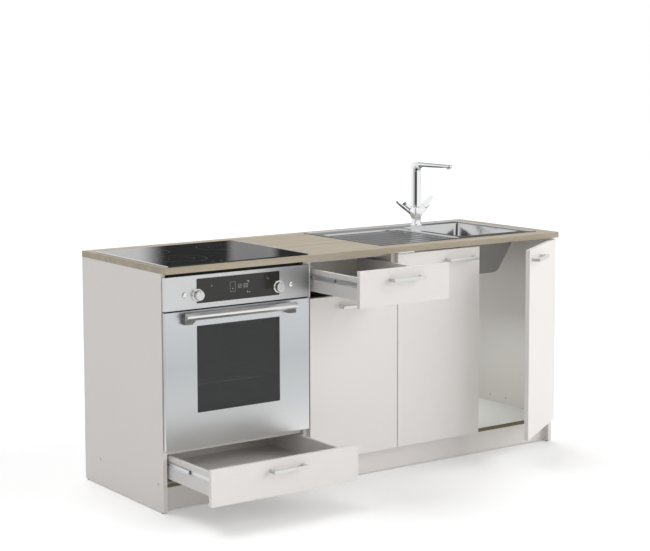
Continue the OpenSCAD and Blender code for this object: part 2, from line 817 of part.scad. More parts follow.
// The branching body seen from the front. Hollow curves lead from its foot into the arms.
module tap_body_outline() {
    hollow_r = 34;
    intersection() {
        offset(r = -hollow_r, $fn = 64) offset(delta = hollow_r) {
            translate([-column_w / 2, 0]) square([column_w, tap_body_h]);
            for (side = [-1, 1]) scale([side, 1]) translate([0, arm_rise]) rotate(lever_angle)
                translate([0, -arm_d / 2]) square([arm_l, arm_d]);
        }
        translate([-run_l / 2, 0]) square([run_l, tap_body_h]);
    }
}

module tap_body() {
    shank_d = 32;
    shank_l = 70;
    shank_wall = 5;
    base_t = 5;
    nut_t = 6;
    nut_drop = 16;
    branch_t = arm_d - 4;
    color([0.85, 0.86, 0.87]) difference() {
        union() {
            translate([tap_x, tap_y, tap_z]) cylinder(d = tap_base_d, h = base_t);
            translate([tap_x - column_w / 2, tap_y - column_d / 2, tap_z + base_t - 1])
                linear_extrude(tap_body_h - base_t + 1) round_rect(column_w, column_d, column_r);
            translate([tap_x, tap_y + branch_t / 2, tap_z]) rotate([90, 0, 0])
                linear_extrude(branch_t) tap_body_outline();
            for (side = [-1, 1]) on_arm(side) cylinder(d = arm_d, h = arm_l);
            translate([tap_x, tap_y, tap_z - shank_l]) cylinder(d = shank_d, h = shank_l + 2);
            translate([tap_x, tap_y, tap_z - nut_drop]) cylinder(d = shank_d + 6, h = nut_t, $fn = 6);
        }
        translate([tap_x, tap_y, tap_z - shank_l - shank_wall])
            cylinder(d = shank_d - 2 * shank_wall, h = shank_l);
    }
}

module tap_spout() {
    spout_t = 16;
    tip_t = 11;
    bend = 23;
    nozzle_d = 21;
    nozzle_out = 5;
    nozzle_setback = 17;
    top = spout_top_z - column_low_z;
    color([0.85, 0.86, 0.87]) translate([tap_x, tap_y, column_low_z]) {
        intersection() {
            rotate([90, 0, 90]) translate([0, 0, -column_w / 2]) linear_extrude(column_w) difference() {
                polygon([
                    [column_d / 2, 0], [column_d / 2, top], [-spout_reach, top],
                    [-spout_reach, top - tip_t], [-column_d / 2 - bend, top - spout_t],
                    [-column_d / 2, top - spout_t - bend], [-column_d / 2, 0]
                ]);
                translate([-column_d / 2 - bend, top - spout_t - bend]) circle(bend);
            }
            translate([0, 0, -1]) linear_extrude(top + 2)
                translate([-column_w / 2, -spout_reach])
                    round_rect(column_w, spout_reach + column_d / 2, column_r);
        }
        translate([0, nozzle_setback - spout_reach, top - tip_t - nozzle_out])
            cylinder(d = nozzle_d, h = nozzle_out + 3);
    }
}

// Lever: a round hub on the arm's axis with a flat blade along its side, which turn brings round.
// The left one hangs shut with its blade below, the right one stands open with its blade behind.
module tap_lever(side, turn) {
    hub_l = 30;
    blade_w = 24;
    blade_t = 6;
    blade_out = 1;
    low_end = 2;
    tip_r = 9;
    color([0.85, 0.86, 0.87]) on_arm(side) rotate([0, 0, turn]) translate([0, 0, arm_l + lever_gap]) {
        cylinder(d = arm_d, h = hub_l);
        translate([arm_d / 2 - blade_t + blade_out, 0, low_end]) rotate([90, 0, 90])
            linear_extrude(blade_t) hull() {
                translate([-blade_w / 2, 0]) square([blade_w, hub_l]);
                translate([0, lever_l - low_end - tip_r]) circle(tip_r);
            }
    }
}
module tap_lever_left() tap_lever(-1, 0);
module tap_lever_right() tap_lever(1, 90);

// Oven body: a folded casing, the cooking space with its rungs, the heating elements and the rack
module oven_casing() {
    low = oven_shelf_top_z + joint_gap;
    back_gap = 40;
    depth = carcass_d - oven_face_setback - back_gap;
    h = oven_body_top_z - low;
    arm_slot = [10, 10, 40];
    vent = [12, 20, 4];
    vent_count = 10;
    vent_pitch = 24;
    vent_drop = 60;
    color([0.66, 0.67, 0.68]) difference() {
        translate([oven_cx - oven_body_w / 2, oven_face_y, low]) cube([oven_body_w, depth, h]);
        translate([oven_cx - oven_body_w / 2 + casing_t, oven_face_y + casing_t, low + casing_t])
            cube([oven_body_w - 2 * casing_t, depth - 2 * casing_t, h - 2 * casing_t]);
        translate([oven_cx - cavity_w / 2 - cavity_wall, oven_face_y - 1, cavity_z - cavity_wall])
            cube([cavity_w + 2 * cavity_wall, 10, cavity_h + 2 * cavity_wall]);
        for (side = [-1, 1])
            translate([oven_cx + side * oven_arm_x - arm_slot[0] / 2, oven_face_y - 1, oven_pivot_z - 14])
                cube(arm_slot);
        for (i = [0 : vent_count - 1])
            translate([oven_cx + (i - vent_count / 2) * vent_pitch, oven_face_y + depth - vent[1] / 2,
                       oven_body_top_z - vent_drop])
                cube(vent);
    }
}

module oven_cavity() {
    color([0.3, 0.31, 0.33]) difference() {
        translate([oven_cx - cavity_w / 2 - cavity_wall, oven_face_y, cavity_z - cavity_wall])
            cube([cavity_w + 2 * cavity_wall, cavity_d + cavity_wall, cavity_h + 2 * cavity_wall]);
        translate([oven_cx - cavity_w / 2, oven_face_y - 1, cavity_z])
            cube([cavity_w, cavity_d + 1, cavity_h]);
    }
    // Runner rungs pressed out of the side walls
    rung_w = 10;
    rung_front = 20;
    rung_back = 40;
    color([0.3, 0.31, 0.33]) for (side = [-1, 1], i = [1 : 4])
        translate([oven_cx + side * (cavity_w / 2 + 1 - rung_w / 2) - rung_w / 2, oven_face_y + rung_front,
                   cavity_z + i * rung_pitch])
            cube([rung_w, cavity_d - rung_front - rung_back, rung_t]);
}

module oven_elements() {
    rod = 7;
    side_room = 60;
    front_room = 60;
    end_room = 70;
    roof_room = 22;
    loop_w = cavity_w - 2 * side_room;
    loop_d = cavity_d - front_room - end_room;
    rods_x = [-loop_w / 2, -loop_w / 6, loop_w / 6, loop_w / 2];
    color([0.35, 0.33, 0.32])
        translate([oven_cx, oven_face_y + front_room, cavity_z + cavity_h - roof_room]) {
        for (x = rods_x)
            translate([x, 0, 0]) rotate([-90, 0, 0])
                cylinder(d = rod, h = abs(x) > loop_w / 3 ? cavity_d - front_room : loop_d);
        for (x = [-loop_w / 2, loop_w / 6])
            translate([x, 0, 0]) rotate([0, 90, 0]) cylinder(d = rod, h = loop_w / 3);
        translate([-loop_w / 6, loop_d, 0]) rotate([0, 90, 0]) cylinder(d = rod, h = loop_w / 3);
        for (x = rods_x) translate([x, 0, 0]) sphere(d = rod);
        for (x = [-loop_w / 6, loop_w / 6]) translate([x, loop_d, 0]) sphere(d = rod);
    }
}

module oven_rack() {
    wire = 5;
    bar_d = 3;
    side_gap = 3;
    rack_front = 22;
    rack_back = 48;
    rack_z = cavity_z + 2 * rung_pitch + rung_t + 0.3;
    rack_w = cavity_w - 2 * side_gap;
    rack_d = cavity_d - rack_front - rack_back;
    bar_count = 16;
    bar_pitch = rack_w / (bar_count + 1);
    color("silver") translate([oven_cx - rack_w / 2, oven_face_y + rack_front, rack_z + wire / 2]) {
        for (y = [wire / 2, rack_d - wire / 2])
            translate([0, y, 0]) rotate([0, 90, 0]) cylinder(d = wire, h = rack_w);
        for (x = [wire / 2, rack_w - wire / 2])
            translate([x, 0, 0]) rotate([-90, 0, 0]) cylinder(d = wire, h = rack_d);
        for (i = [1 : bar_count])
            translate([i * bar_pitch, 0, 0]) rotate([-90, 0, 0]) cylinder(d = bar_d, h = rack_d, $fn = 24);
    }
}

// Control panel: a folded steel front with the electronics' box behind it
skirt_d = knob_d + 6;
knob_shaft_d = 8;
button_well = 10;
module oven_control_panel() {
    low = oven_high_z - panel_h;
    box_rise = 4;
    box_h = oven_body_top_z - low - 2 * box_rise;
    color(steel) difference() {
        union() {
            translate([oven_cx - oven_front_w / 2, front_y, low])
                cube([oven_front_w, front_t, panel_h]);
            translate([oven_cx - door_inner_w / 2, front_back_y - 1, low + box_rise])
                cube([door_inner_w, oven_face_y - front_back_y + 1 - joint_gap, box_h]);
        }
        for (side = [-1, 1]) {
            rod_y([oven_cx + side * knob_offset, oven_face_y + 5, knob_z], knob_shaft_d + joint_gap, 60);
            rod_y([oven_cx + side * button_offset, front_y + button_well, button_z], button_d + 0.8, 30);
        }
    }
}

module oven_display() {
    plate_t = 1;
    color([0.16, 0.17, 0.16]) difference() {
        translate([oven_cx - window_w / 2, front_y - plate_t, display_z])
            cube([window_w, plate_t, display_h]);
        for (side = [-1, 1])
            rod_y([oven_cx + side * knob_offset, front_y + 5, knob_z], skirt_d + 1, 20);
    }
}

// Knob: a slightly tapering cap on a low skirt, a raised pointer line and the shaft into the panel
module oven_knob(side) {
    skirt_t = 3;
    shaft_l = 12;
    pointer = [1.6, 7, 0.7];
    color([0.78, 0.78, 0.77])
        translate([oven_cx + side * knob_offset, front_y - 0.3, knob_z]) rotate([90, 0, 0]) {
            rotate_extrude() polygon([
                [0, 0], [skirt_d / 2, 0], [skirt_d / 2, skirt_t - 1], [skirt_d / 2 - 1, skirt_t],
                [knob_d / 2, skirt_t], [knob_d / 2 - 0.6, knob_l - 2], [knob_d / 2 - 2.2, knob_l],
                [0, knob_l]
            ]);
            translate([0, 0, -shaft_l]) cylinder(d = knob_shaft_d, h = shaft_l + 1);
            translate([-pointer[0] / 2, knob_d / 2 - 3 - pointer[1], knob_l - 0.2]) cube(pointer);
        }
}
module oven_knob_left() oven_knob(-1);
module oven_knob_right() oven_knob(1);

module oven_button(side) {
    button_l = 9.5;
    bevel = 1;
    color([0.75, 0.75, 0.74])
        translate([oven_cx + side * button_offset, front_y + 6, button_z]) rotate([90, 0, 0]) {
            cylinder(d = button_d, h = button_l);
            translate([0, 0, button_l - 0.1]) cylinder(d1 = button_d, d2 = button_d - 2 * bevel, h = bevel);
        }
}
module oven_button_left() oven_button(-1);
module oven_button_right() oven_button(1);

// Oven door
oven_arm_x = oven_body_w / 2 - 14;
window_z = oven_low_z + window_sill;
fold_t = 2;
module oven_door_panel() {
    h = oven_door_high_z - oven_low_z;
    arm_notch = [12, front_t, 10];
    color(steel) difference() {
        translate([oven_cx - oven_front_w / 2, front_y, oven_low_z]) cube([oven_front_w, door_fold, h]);
        translate([oven_cx - oven_front_w / 2 + fold_t, front_y + door_skin, oven_low_z + fold_t])
            cube([oven_front_w - 2 * fold_t, front_t, h - 2 * fold_t]);
        translate([oven_cx - window_w / 2, front_y - 1, window_z]) cube([window_w, 10, window_h]);
        for (side = [-1, 1])
            translate([oven_cx + side * oven_arm_x - arm_notch[0] / 2, front_y + door_skin, oven_low_z - 1])
                cube(arm_notch);
    }
}

module oven_door_glass() {
    lap = 12;
    edge_gap = 0.4;
    color(dark_glass) union() {
        translate([oven_cx - window_w / 2 + edge_gap, front_y + 0.5, window_z + edge_gap])
            cube([window_w - 2 * edge_gap, 4, window_h - 2 * edge_gap]);
        translate([oven_cx - window_w / 2 - lap, front_y + door_skin + joint_gap, window_z - lap])
            cube([window_w + 2 * lap, 3, window_h + 2 * lap]);
    }
}

// Inner frame with its window opening and two slots for the hinge arms
seal_gap = 4;
inner_lap = 25;
inner_seat = 5;
module window_block(lap, y, depth) {
    translate([oven_cx - window_w / 2 - lap, y, window_z - lap])
        cube([window_w + 2 * lap, depth, window_h + 2 * lap]);
}

module oven_door_frame() {
    low = oven_low_z + fold_t + joint_gap;
    h = oven_door_high_z - 2 * fold_t - low;
    frame_y = front_y + 8;
    depth = oven_face_y - seal_gap - frame_y;
    cheek_w = 24;
    cheek_h = 40;
    cheek_y = front_y + door_skin + joint_gap;
    opening_lap = 10;
    slot_w = oven_arm_t + 1;
    color([0.35, 0.36, 0.37]) difference() {
        union() {
            translate([oven_cx - door_inner_w / 2, frame_y, low]) cube([door_inner_w, depth, h]);
            for (side = [-1, 1])
                translate([oven_cx + side * oven_arm_x - cheek_w / 2, cheek_y, low])
                    cube([cheek_w, frame_y - cheek_y + 1, cheek_h]);
        }
        window_block(opening_lap, frame_y - 1, depth + 2);
        window_block(inner_lap + 1, frame_y + depth - inner_seat, 10);
        for (side = [-1, 1])
            translate([oven_cx + side * oven_arm_x - slot_w / 2, cheek_y - 1, low - 1])
                cube([slot_w, depth + 20, cheek_h + 12]);
    }
}

module oven_door_inner_glass() {
    color([0.4, 0.42, 0.42])
        window_block(inner_lap, oven_face_y - seal_gap - inner_seat + joint_gap, inner_seat - 1);
}

// Two flat steel arms that reach out of the casing to the door's pivots
module oven_hinge_arms() {
    arm_in_casing = 60;
    receiver = [12, 56, 20];
    color("silver") for (side = [-1, 1]) {
        x = oven_cx + side * oven_arm_x - oven_arm_t / 2;
        translate([x, oven_pivot_y, oven_pivot_z - oven_arm_h / 2])
            cube([oven_arm_t, oven_face_y + arm_in_casing - oven_pivot_y, oven_arm_h]);
        translate([x, oven_pivot_y, oven_pivot_z]) rotate([0, 90, 0])
            cylinder(d = oven_arm_h, h = oven_arm_t);
        translate([x + oven_arm_t / 2 - receiver[0] / 2, oven_face_y + casing_t,
                   oven_pivot_z - receiver[2] / 2])
            cube(receiver);
    }
}

// Door handle: a bar that narrows to a round nose, on two dark feet that widen towards the bar.
// Profiles are drawn with the door's face at the left and the bar's top edge at height 0.
module oven_door_handle() {
    bar_h = 26;
    bar_drop = 5;
    bar_back = 19;
    back_t = 3;
    nose_r = 5;
    nose_out = 33;
    foot_top_w = 57;
    foot_low_w = 30;
    foot_h = 25;
    foot_drop = 14;
    low_z = oven_door_high_z - bar_drop - bar_h;
    left_x = oven_cx - oven_handle_l / 2;
    color([0.74, 0.74, 0.73]) translate([left_x, front_y, low_z])
        rotate([90, 0, 90]) linear_extrude(oven_handle_l) mirror([1, 0]) hull() {
            translate([bar_back, 0]) square([back_t, bar_h]);
            translate([nose_out, bar_h / 2 + 0.5]) circle(nose_r);
        }
    color([0.35, 0.35, 0.34]) for (side = [-1, 1])
        translate([oven_cx, front_y - joint_gap, low_z + bar_h - foot_drop - foot_h])
            scale([side, 1, 1]) rotate([90, 0, 0]) linear_extrude(bar_back + 1 - joint_gap) polygon([
                [oven_handle_l / 2, 0], [oven_handle_l / 2, foot_h],
                [oven_handle_l / 2 - foot_top_w, foot_h], [oven_handle_l / 2 - foot_low_w, 0]
            ]);
}

worktop();
oven_unit_sides();
drawer_unit_sides();
sink_unit_sides();
carcass_floors();
cross_rails();
drawer_unit_back();
plinth();
floor_glides();
oven_shelf();
cupboard_shelf();
shelf_pins();
slide_rails_fixed();
hinge_arms();
hob_glass();
hob_trim();
hob_tray();
sink();
sink_bowl();
sink_waste();
tap_body();
oven_casing();
oven_cavity();
oven_elements();
oven_rack();
oven_control_panel();
oven_display();
oven_hinge_arms();
tap_spout();
tap_lever_left();
tap_lever_right();
oven_knob_left();
oven_knob_right();
oven_button_left();
oven_button_right();
oven_door_panel();
oven_door_glass();
oven_door_frame();
oven_door_inner_glass();
oven_door_handle();
upper_drawer_slides();
upper_drawer_front();
upper_drawer_box();
upper_drawer_rails();
upper_drawer_handle();
lower_drawer_slides();
lower_drawer_front();
lower_drawer_box();
lower_drawer_rails();
lower_drawer_handle();
drawer_unit_door();
drawer_unit_door_hinges();
drawer_unit_door_handle();
sink_door_left();
sink_door_left_hinges();
sink_door_left_handle();
sink_door_right();
sink_door_right_hinges();
sink_door_right_handle();
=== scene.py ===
import math

import bmesh
import bpy
import numpy as np
from mathutils import Matrix, Vector


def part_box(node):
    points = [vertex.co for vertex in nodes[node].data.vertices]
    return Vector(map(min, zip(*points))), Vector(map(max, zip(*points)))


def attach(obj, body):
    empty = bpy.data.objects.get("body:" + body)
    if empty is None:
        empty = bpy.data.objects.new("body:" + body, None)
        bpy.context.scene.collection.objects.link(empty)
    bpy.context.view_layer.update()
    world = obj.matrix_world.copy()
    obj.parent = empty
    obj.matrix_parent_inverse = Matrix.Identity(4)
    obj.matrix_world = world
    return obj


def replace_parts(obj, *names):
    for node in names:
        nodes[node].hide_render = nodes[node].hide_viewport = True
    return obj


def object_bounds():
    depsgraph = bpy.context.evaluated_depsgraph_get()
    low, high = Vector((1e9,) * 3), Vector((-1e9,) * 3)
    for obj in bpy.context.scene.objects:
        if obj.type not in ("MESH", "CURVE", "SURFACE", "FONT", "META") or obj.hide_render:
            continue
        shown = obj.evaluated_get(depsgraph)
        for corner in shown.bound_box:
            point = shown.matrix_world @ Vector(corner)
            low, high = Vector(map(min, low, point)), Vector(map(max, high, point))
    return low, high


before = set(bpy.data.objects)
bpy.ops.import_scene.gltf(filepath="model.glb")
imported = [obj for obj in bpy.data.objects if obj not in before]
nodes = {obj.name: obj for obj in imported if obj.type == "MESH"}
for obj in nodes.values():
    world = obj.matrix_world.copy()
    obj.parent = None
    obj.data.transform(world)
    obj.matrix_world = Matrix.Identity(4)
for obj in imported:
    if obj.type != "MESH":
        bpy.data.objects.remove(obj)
cad_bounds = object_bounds()

# The camera. It stands in front and to the left of the run, a little above the worktop, with a long
# lens that looks down slightly. The picture's shift gives the photograph's framing.
PHOTO_W, PHOTO_H = 650, 551
focal_px = 1645.6
centre_px = (272.22, 208.11)
eye = Vector((-2.7557, -5.3301, 1.5979))
yaw, pitch, roll = math.radians(33.992), math.radians(5.711), math.radians(-0.330)
forward = Vector((math.sin(yaw) * math.cos(pitch), math.cos(yaw) * math.cos(pitch), -math.sin(pitch)))
level = Vector((math.cos(yaw), -math.sin(yaw), 0))
upright = level.cross(forward)
right = level * math.cos(roll) + upright * math.sin(roll)
up = upright * math.cos(roll) - level * math.sin(roll)
cam_data = bpy.data.cameras.new("camera")
cam_data.sensor_width = 36
cam_data.lens = focal_px * cam_data.sensor_width / PHOTO_W
cam_data.shift_x = (PHOTO_W / 2 - centre_px[0]) / PHOTO_W
cam_data.shift_y = -(PHOTO_H / 2 - centre_px[1]) / PHOTO_W
camera = bpy.data.objects.new("camera", cam_data)
bpy.context.collection.objects.link(camera)
camera.matrix_world = Matrix.Translation(eye) @ Matrix((right, up, -forward)).transposed().to_4x4()
bpy.context.scene.camera = camera
bpy.context.scene.view_settings.view_transform = "Standard"


# The surround: an even white studio whose light on dull surfaces is held back. In what gloss reflects of
# it stand a few dark cards, which give the hob, the drainer, the tap and the oven their bands.
def feed(socket, value):
    """Links a socket to another one, or sets it where value is a number or a tuple."""
    if isinstance(value, bpy.types.NodeSocket):
        socket.id_data.links.new(value, socket)
    else:
        socket.default_value = value


def math_step(tree, operation, *operands):
    """One Math node. Each operand is a socket or a number."""
    node = tree.nodes.new("ShaderNodeMath")
    node.operation = operation
    for socket, value in zip(node.inputs, operands):
        feed(socket, value)
    return node.outputs[0]


def span(tree, value, from_low, from_high, low=0.0, high=1.0, kind="LINEAR"):
    """value mapped and clamped from one range to another, in a straight line or as a smooth step."""
    node = tree.nodes.new("ShaderNodeMapRange")
    node.interpolation_type = kind
    for label, number in (("From Min", from_low), ("From Max", from_high), ("To Min", low), ("To Max", high)):
        node.inputs[label].default_value = number
    feed(node.inputs["Value"], value)
    return node.outputs[0]


def seen_directly(tree):
    """One where the ray comes from the camera, from gloss or through glass, else zero."""
    path = tree.nodes.new("ShaderNodeLightPath").outputs
    direct = math_step(tree, "MAXIMUM", path["Is Camera Ray"], path["Is Glossy Ray"])
    return math_step(tree, "MAXIMUM", direct, path["Is Transmission Ray"])


diffuse_level = 0.45
# Each card has four azimuths, where it begins, is full, starts to fall and is gone, in degrees from the
# wall's direction towards the right; four heights alike, as sines; and the brightness it leaves.
over_wall = (-0.04, 0.0, 0.24, 0.32)
low_down = (-0.34, -0.26, 0.04, 0.12)
CARDS = [
    ((29.2, 30.3, 32.3, 32.9), over_wall, 0.045),
    ((32.3, 32.9, 33.7, 34.3), over_wall, 0.40),
    ((33.7, 34.3, 35.1, 35.5), over_wall, 0.045),
    ((35.1, 35.5, 38.8, 39.3), over_wall, 0.32),
    ((38.8, 39.3, 47.0, 52.0), over_wall, 0.11),
    ((45.0, 49.0, 60.0, 66.0), low_down, 0.25),
    ((-84.0, -66.0, -46.0, -37.0), (-0.34, -0.26, 0.0, 0.08), 0.50),
    ((-166.0, -156.0, -108.0, -98.0), low_down, 0.07),
    ((-40.0, -32.0, -14.0, -6.0), (0.42, 0.50, 0.66, 0.74), 0.16),
    ((-178.0, -165.0, -118.0, -104.0), (0.36, 0.46, 0.84, 0.92), 0.08),
    ((-45.0, -30.0, 62.0, 78.0), (-1.2, -1.1, -0.46, -0.34), 0.10),
]
world = bpy.data.worlds.new("studio")
world.use_nodes = True
bpy.context.scene.world = world
tree = world.node_tree
tree.nodes.clear()
toward = tree.nodes.new("ShaderNodeSeparateXYZ")
feed(toward.inputs[0], tree.nodes.new("ShaderNodeTexCoord").outputs["Generated"])
azimuth = math_step(tree, "ARCTAN2", toward.outputs["X"], toward.outputs["Y"])
reflected = 1.0
for azimuths, heights, brightness in CARDS:
    mask = 1.0
    in_radians = [math.radians(angle) for angle in azimuths]
    for value, marks in ((azimuth, in_radians), (toward.outputs["Z"], heights)):
        rise = span(tree, value, marks[0], marks[1], kind="SMOOTHSTEP")
        fall = span(tree, value, marks[2], marks[3], kind="SMOOTHSTEP")
        mask = math_step(tree, "MULTIPLY", mask, math_step(tree, "SUBTRACT", rise, fall))
    dimmed = math_step(tree, "MULTIPLY_ADD", mask, brightness - 1, 1.0)
    reflected = math_step(tree, "MULTIPLY", reflected, dimmed)
is_gloss = tree.nodes.new("ShaderNodeLightPath").outputs["Is Glossy Ray"]
carded = math_step(tree, "MULTIPLY_ADD", math_step(tree, "SUBTRACT", reflected, 1.0), is_gloss, 1.0)
held_back = math_step(tree, "MULTIPLY_ADD", seen_directly(tree), 1 - diffuse_level, diffuse_level)
surround = tree.nodes.new("ShaderNodeBackground")
surround.inputs["Color"].default_value = (1, 1, 1, 1)
feed(surround.inputs["Strength"], math_step(tree, "MULTIPLY", carded, held_back))
feed(tree.nodes.new("ShaderNodeOutputWorld").inputs[0], surround.outputs[0])


# The floor: pale paint without an end. It keeps the run's shadow, and a little glow that lights nothing
# else lifts it towards the surround's white.
def new_material(name, shader_kind="ShaderNodeBsdfPrincipled"):
    """A material with one shader on its output, as (material, its node tree, the shader)."""
    material = bpy.data.materials.new(name)
    material.use_nodes = True
    tree = material.node_tree
    tree.nodes.clear()
    shader = tree.nodes.new(shader_kind)
    feed(tree.nodes.new("ShaderNodeOutputMaterial").inputs["Surface"], shader.outputs[0])
    return material, tree, shader


def rectangle(x0, x1, y0, y1):
    """The four corners of a rectangle, anticlockwise."""
    return [(x0, y0), (x1, y0), (x1, y1), (x0, y1)]


floor_reach = 14.0
floor_glow = 0.18
floor_paint, tree, both = new_material("floor_paint", "ShaderNodeAddShader")
paint = tree.nodes.new("ShaderNodeBsdfDiffuse")
paint.inputs["Color"].default_value = (0.93, 0.93, 0.93, 1)
glow = tree.nodes.new("ShaderNodeEmission")
feed(glow.inputs["Strength"], math_step(tree, "MULTIPLY", seen_directly(tree), floor_glow))
feed(both.inputs[0], paint.outputs[0])
feed(both.inputs[1], glow.outputs[0])
floor_corners = rectangle(-floor_reach, floor_reach, -floor_reach, floor_reach)
floor_mesh = bpy.data.meshes.new("floor")
floor_mesh.from_pydata([(x, y, 0) for x, y in floor_corners], [], [(0, 1, 2, 3)])
floor_mesh.materials.append(floor_paint)
floor = bpy.data.objects.new("floor", floor_mesh)
bpy.context.collection.objects.link(floor)
floor.visible_glossy = False


# The lamps: a low broad one from the right, a high one from behind, and a small one inside the open
# cupboard for the light that its pale walls throw about. None of them shows in gloss.
def sun(name, energy, softness, side, rise):
    """A lamp at infinity: side degrees from straight in front of the run to its right, rise degrees up."""
    data = bpy.data.lights.new(name, "SUN")
    data.energy = energy
    data.angle = math.radians(softness)
    lamp = bpy.data.objects.new(name, data)
    flat = math.cos(math.radians(rise))
    source = Vector((math.sin(math.radians(side)) * flat, -math.cos(math.radians(side)) * flat,
                     math.sin(math.radians(rise))))
    lamp.rotation_euler = source.to_track_quat("Z", "Y").to_euler()
    lamp.visible_glossy = False
    bpy.context.collection.objects.link(lamp)


sun("key", energy=1.62, softness=50, side=51, rise=17)
sun("top", energy=1.36, softness=40, side=-170, rise=69)
fill_data = bpy.data.lights.new("cupboard_fill", "AREA")
fill_data.shape = "RECTANGLE"
fill_data.size, fill_data.size_y = 0.14, 0.3
fill_data.energy = 0.68
fill_data.color = (0.94, 1.0, 0.95)
fill = bpy.data.objects.new("cupboard_fill", fill_data)
fill.location = (1.45, -0.40, 0.52)
fill.rotation_euler = Vector((0.05, 0.1, 1.0)).to_track_quat("Z", "Y").to_euler()
fill.visible_camera = False
fill.visible_glossy = False
bpy.context.collection.objects.link(fill)

# Side panels, floors, rails, shelves, back and plinth: melamine-faced board, the solids of the
# construction with broken edges. Its texture is a faint cloud and a fine pressed grain.
# The run stands on black plastic glides.
surface_effect = bpy.data.node_groups.new("surface_effect", "ShaderNodeTree")
for label, kind, value in (
        ("Colour", "NodeSocketColor", (0.8, 0.8, 0.8, 1)), ("Stretch", "NodeSocketVector", (1, 1, 1)),
        ("Scale", "NodeSocketFloat", 800.0), ("Contrast", "NodeSocketFloat", 0.03),
        ("Roughness", "NodeSocketFloat", 0.4), ("Depth", "NodeSocketFloat", 0.00003)):
    surface_effect.interface.new_socket(label, in_out="INPUT", socket_type=kind).default_value = value
for label, kind in (("Colour", "NodeSocketColor"), ("Roughness", "NodeSocketFloat"),
                    ("Normal", "NodeSocketVector")):
    surface_effect.interface.new_socket(label, in_out="OUTPUT", socket_type=kind)


def drawn_noise(tree, place, stretch, scale, detail):
    """Noise on the point place, whose axes are first scaled by stretch."""
    mapping = tree.nodes.new("ShaderNodeMapping")
    noise = tree.nodes.new("ShaderNodeTexNoise")
    feed(mapping.inputs["Vector"], place)
    feed(mapping.inputs["Scale"], stretch)
    feed(noise.inputs["Vector"], mapping.outputs[0])
    feed(noise.inputs["Scale"], scale)
    feed(noise.inputs["Detail"], detail)
    return noise.outputs["Fac"]


def scaled(tree, colour, factor):
    """A colour times a factor."""
    node = tree.nodes.new("ShaderNodeVectorMath")
    node.operation = "SCALE"
    feed(node.inputs[0], colour)
    feed(node.inputs["Scale"], factor)
    return node.outputs[0]


def relief(tree, height, strength, depth):
    """The normal of a pattern that stands out by depth."""
    node = tree.nodes.new("ShaderNodeBump")
    feed(node.inputs["Strength"], strength)
    feed(node.inputs["Distance"], depth)
    feed(node.inputs["Height"], height)
    return node.outputs[0]


gloss_swing = 0.12
given = surface_effect.nodes.new("NodeGroupInput").outputs
result = surface_effect.nodes.new("NodeGroupOutput").inputs
place = surface_effect.nodes.new("ShaderNodeTexCoord").outputs["Object"]
fine = drawn_noise(surface_effect, place, given["Stretch"], given["Scale"], 3.0)
cloud = drawn_noise(surface_effect, place, (1, 1, 1), 4.0, 2.0)
around = math_step(surface_effect, "SUBTRACT", math_step(surface_effect, "ADD", fine, cloud), 1.0)
tone = math_step(surface_effect, "MULTIPLY_ADD", around, given["Contrast"], 1.0)
feed(result["Colour"], scaled(surface_effect, given["Colour"], tone))
feed(result["Roughness"], math_step(surface_effect, "MULTIPLY_ADD", around, gloss_swing, given["Roughness"]))
feed(result["Normal"], relief(surface_effect, fine, 0.5, given["Depth"]))


def finish(name, colour, roughness, metallic=0.0, stretch=(1, 1, 1), scale=800.0, contrast=0.03,
           depth=0.00003, **sockets):
    """A Principled material with the surface effect, or plain at no contrast. More sockets go by name."""
    material, tree, shader = new_material(name)
    shader.inputs["Metallic"].default_value = metallic
    for label, value in sockets.items():
        shader.inputs[label.replace("_", " ")].default_value = value
    if contrast == 0:
        shader.inputs["Base Color"].default_value = (*colour, 1)
        shader.inputs["Roughness"].default_value = roughness
        return material
    effect = tree.nodes.new("ShaderNodeGroup")
    effect.node_tree = surface_effect
    for label, value in (("Colour", (*colour, 1)), ("Roughness", roughness), ("Stretch", stretch),
                         ("Scale", scale), ("Contrast", contrast), ("Depth", depth)):
        effect.inputs[label].default_value = value
    for label, fed in (("Colour", "Base Color"), ("Roughness", "Roughness"), ("Normal", "Normal")):
        feed(shader.inputs[fed], effect.outputs[label])
    return material


def soften(thing, width, segments=2, smooth=False):
    """Welds a mesh and rounds its sharp edges by width. With smooth, the flats beside them stay flat."""
    weld = thing.modifiers.new("weld", "WELD")
    weld.merge_threshold = 0.00002
    bevel = thing.modifiers.new("edges", "BEVEL")
    bevel.width = width
    bevel.segments = segments
    bevel.limit_method = "ANGLE"
    bevel.angle_limit = math.radians(40)
    bevel.harden_normals = smooth


def dress(names, material, width=0.0):
    """Gives nodes of the construction their material and, if width is set, rounded edges."""
    for name in names:
        node = nodes[name]
        if not node.material_slots:
            node.data.materials.append(material)
        for used in node.material_slots:
            used.link = "OBJECT"
            used.material = material
        if width:
            soften(node, width)


board_edge = 0.0005
carcass_melamine = finish("carcass_melamine", (0.79, 0.757, 0.733), 0.5, contrast=0.02)
# The floors, shelf and back get a lighter, cooler copy of the melamine: painted light of the cupboard's
# inside.
inner_lit_melamine = finish("inner_lit_melamine", (0.80, 0.81, 0.78), 0.5, contrast=0.02)
dress(["oven_unit_sides", "drawer_unit_sides", "sink_unit_sides", "cross_rails", "plinth", "oven_shelf"],
      carcass_melamine, board_edge)
dress(["carcass_floors", "cupboard_shelf", "drawer_unit_back"], inner_lit_melamine, board_edge)
# Black plastic, also used as the painted shade inside the tap's nozzle.
black_plastic = finish("black_plastic", (0.02, 0.02, 0.02), 0.45)
dress(["floor_glides"], black_plastic)
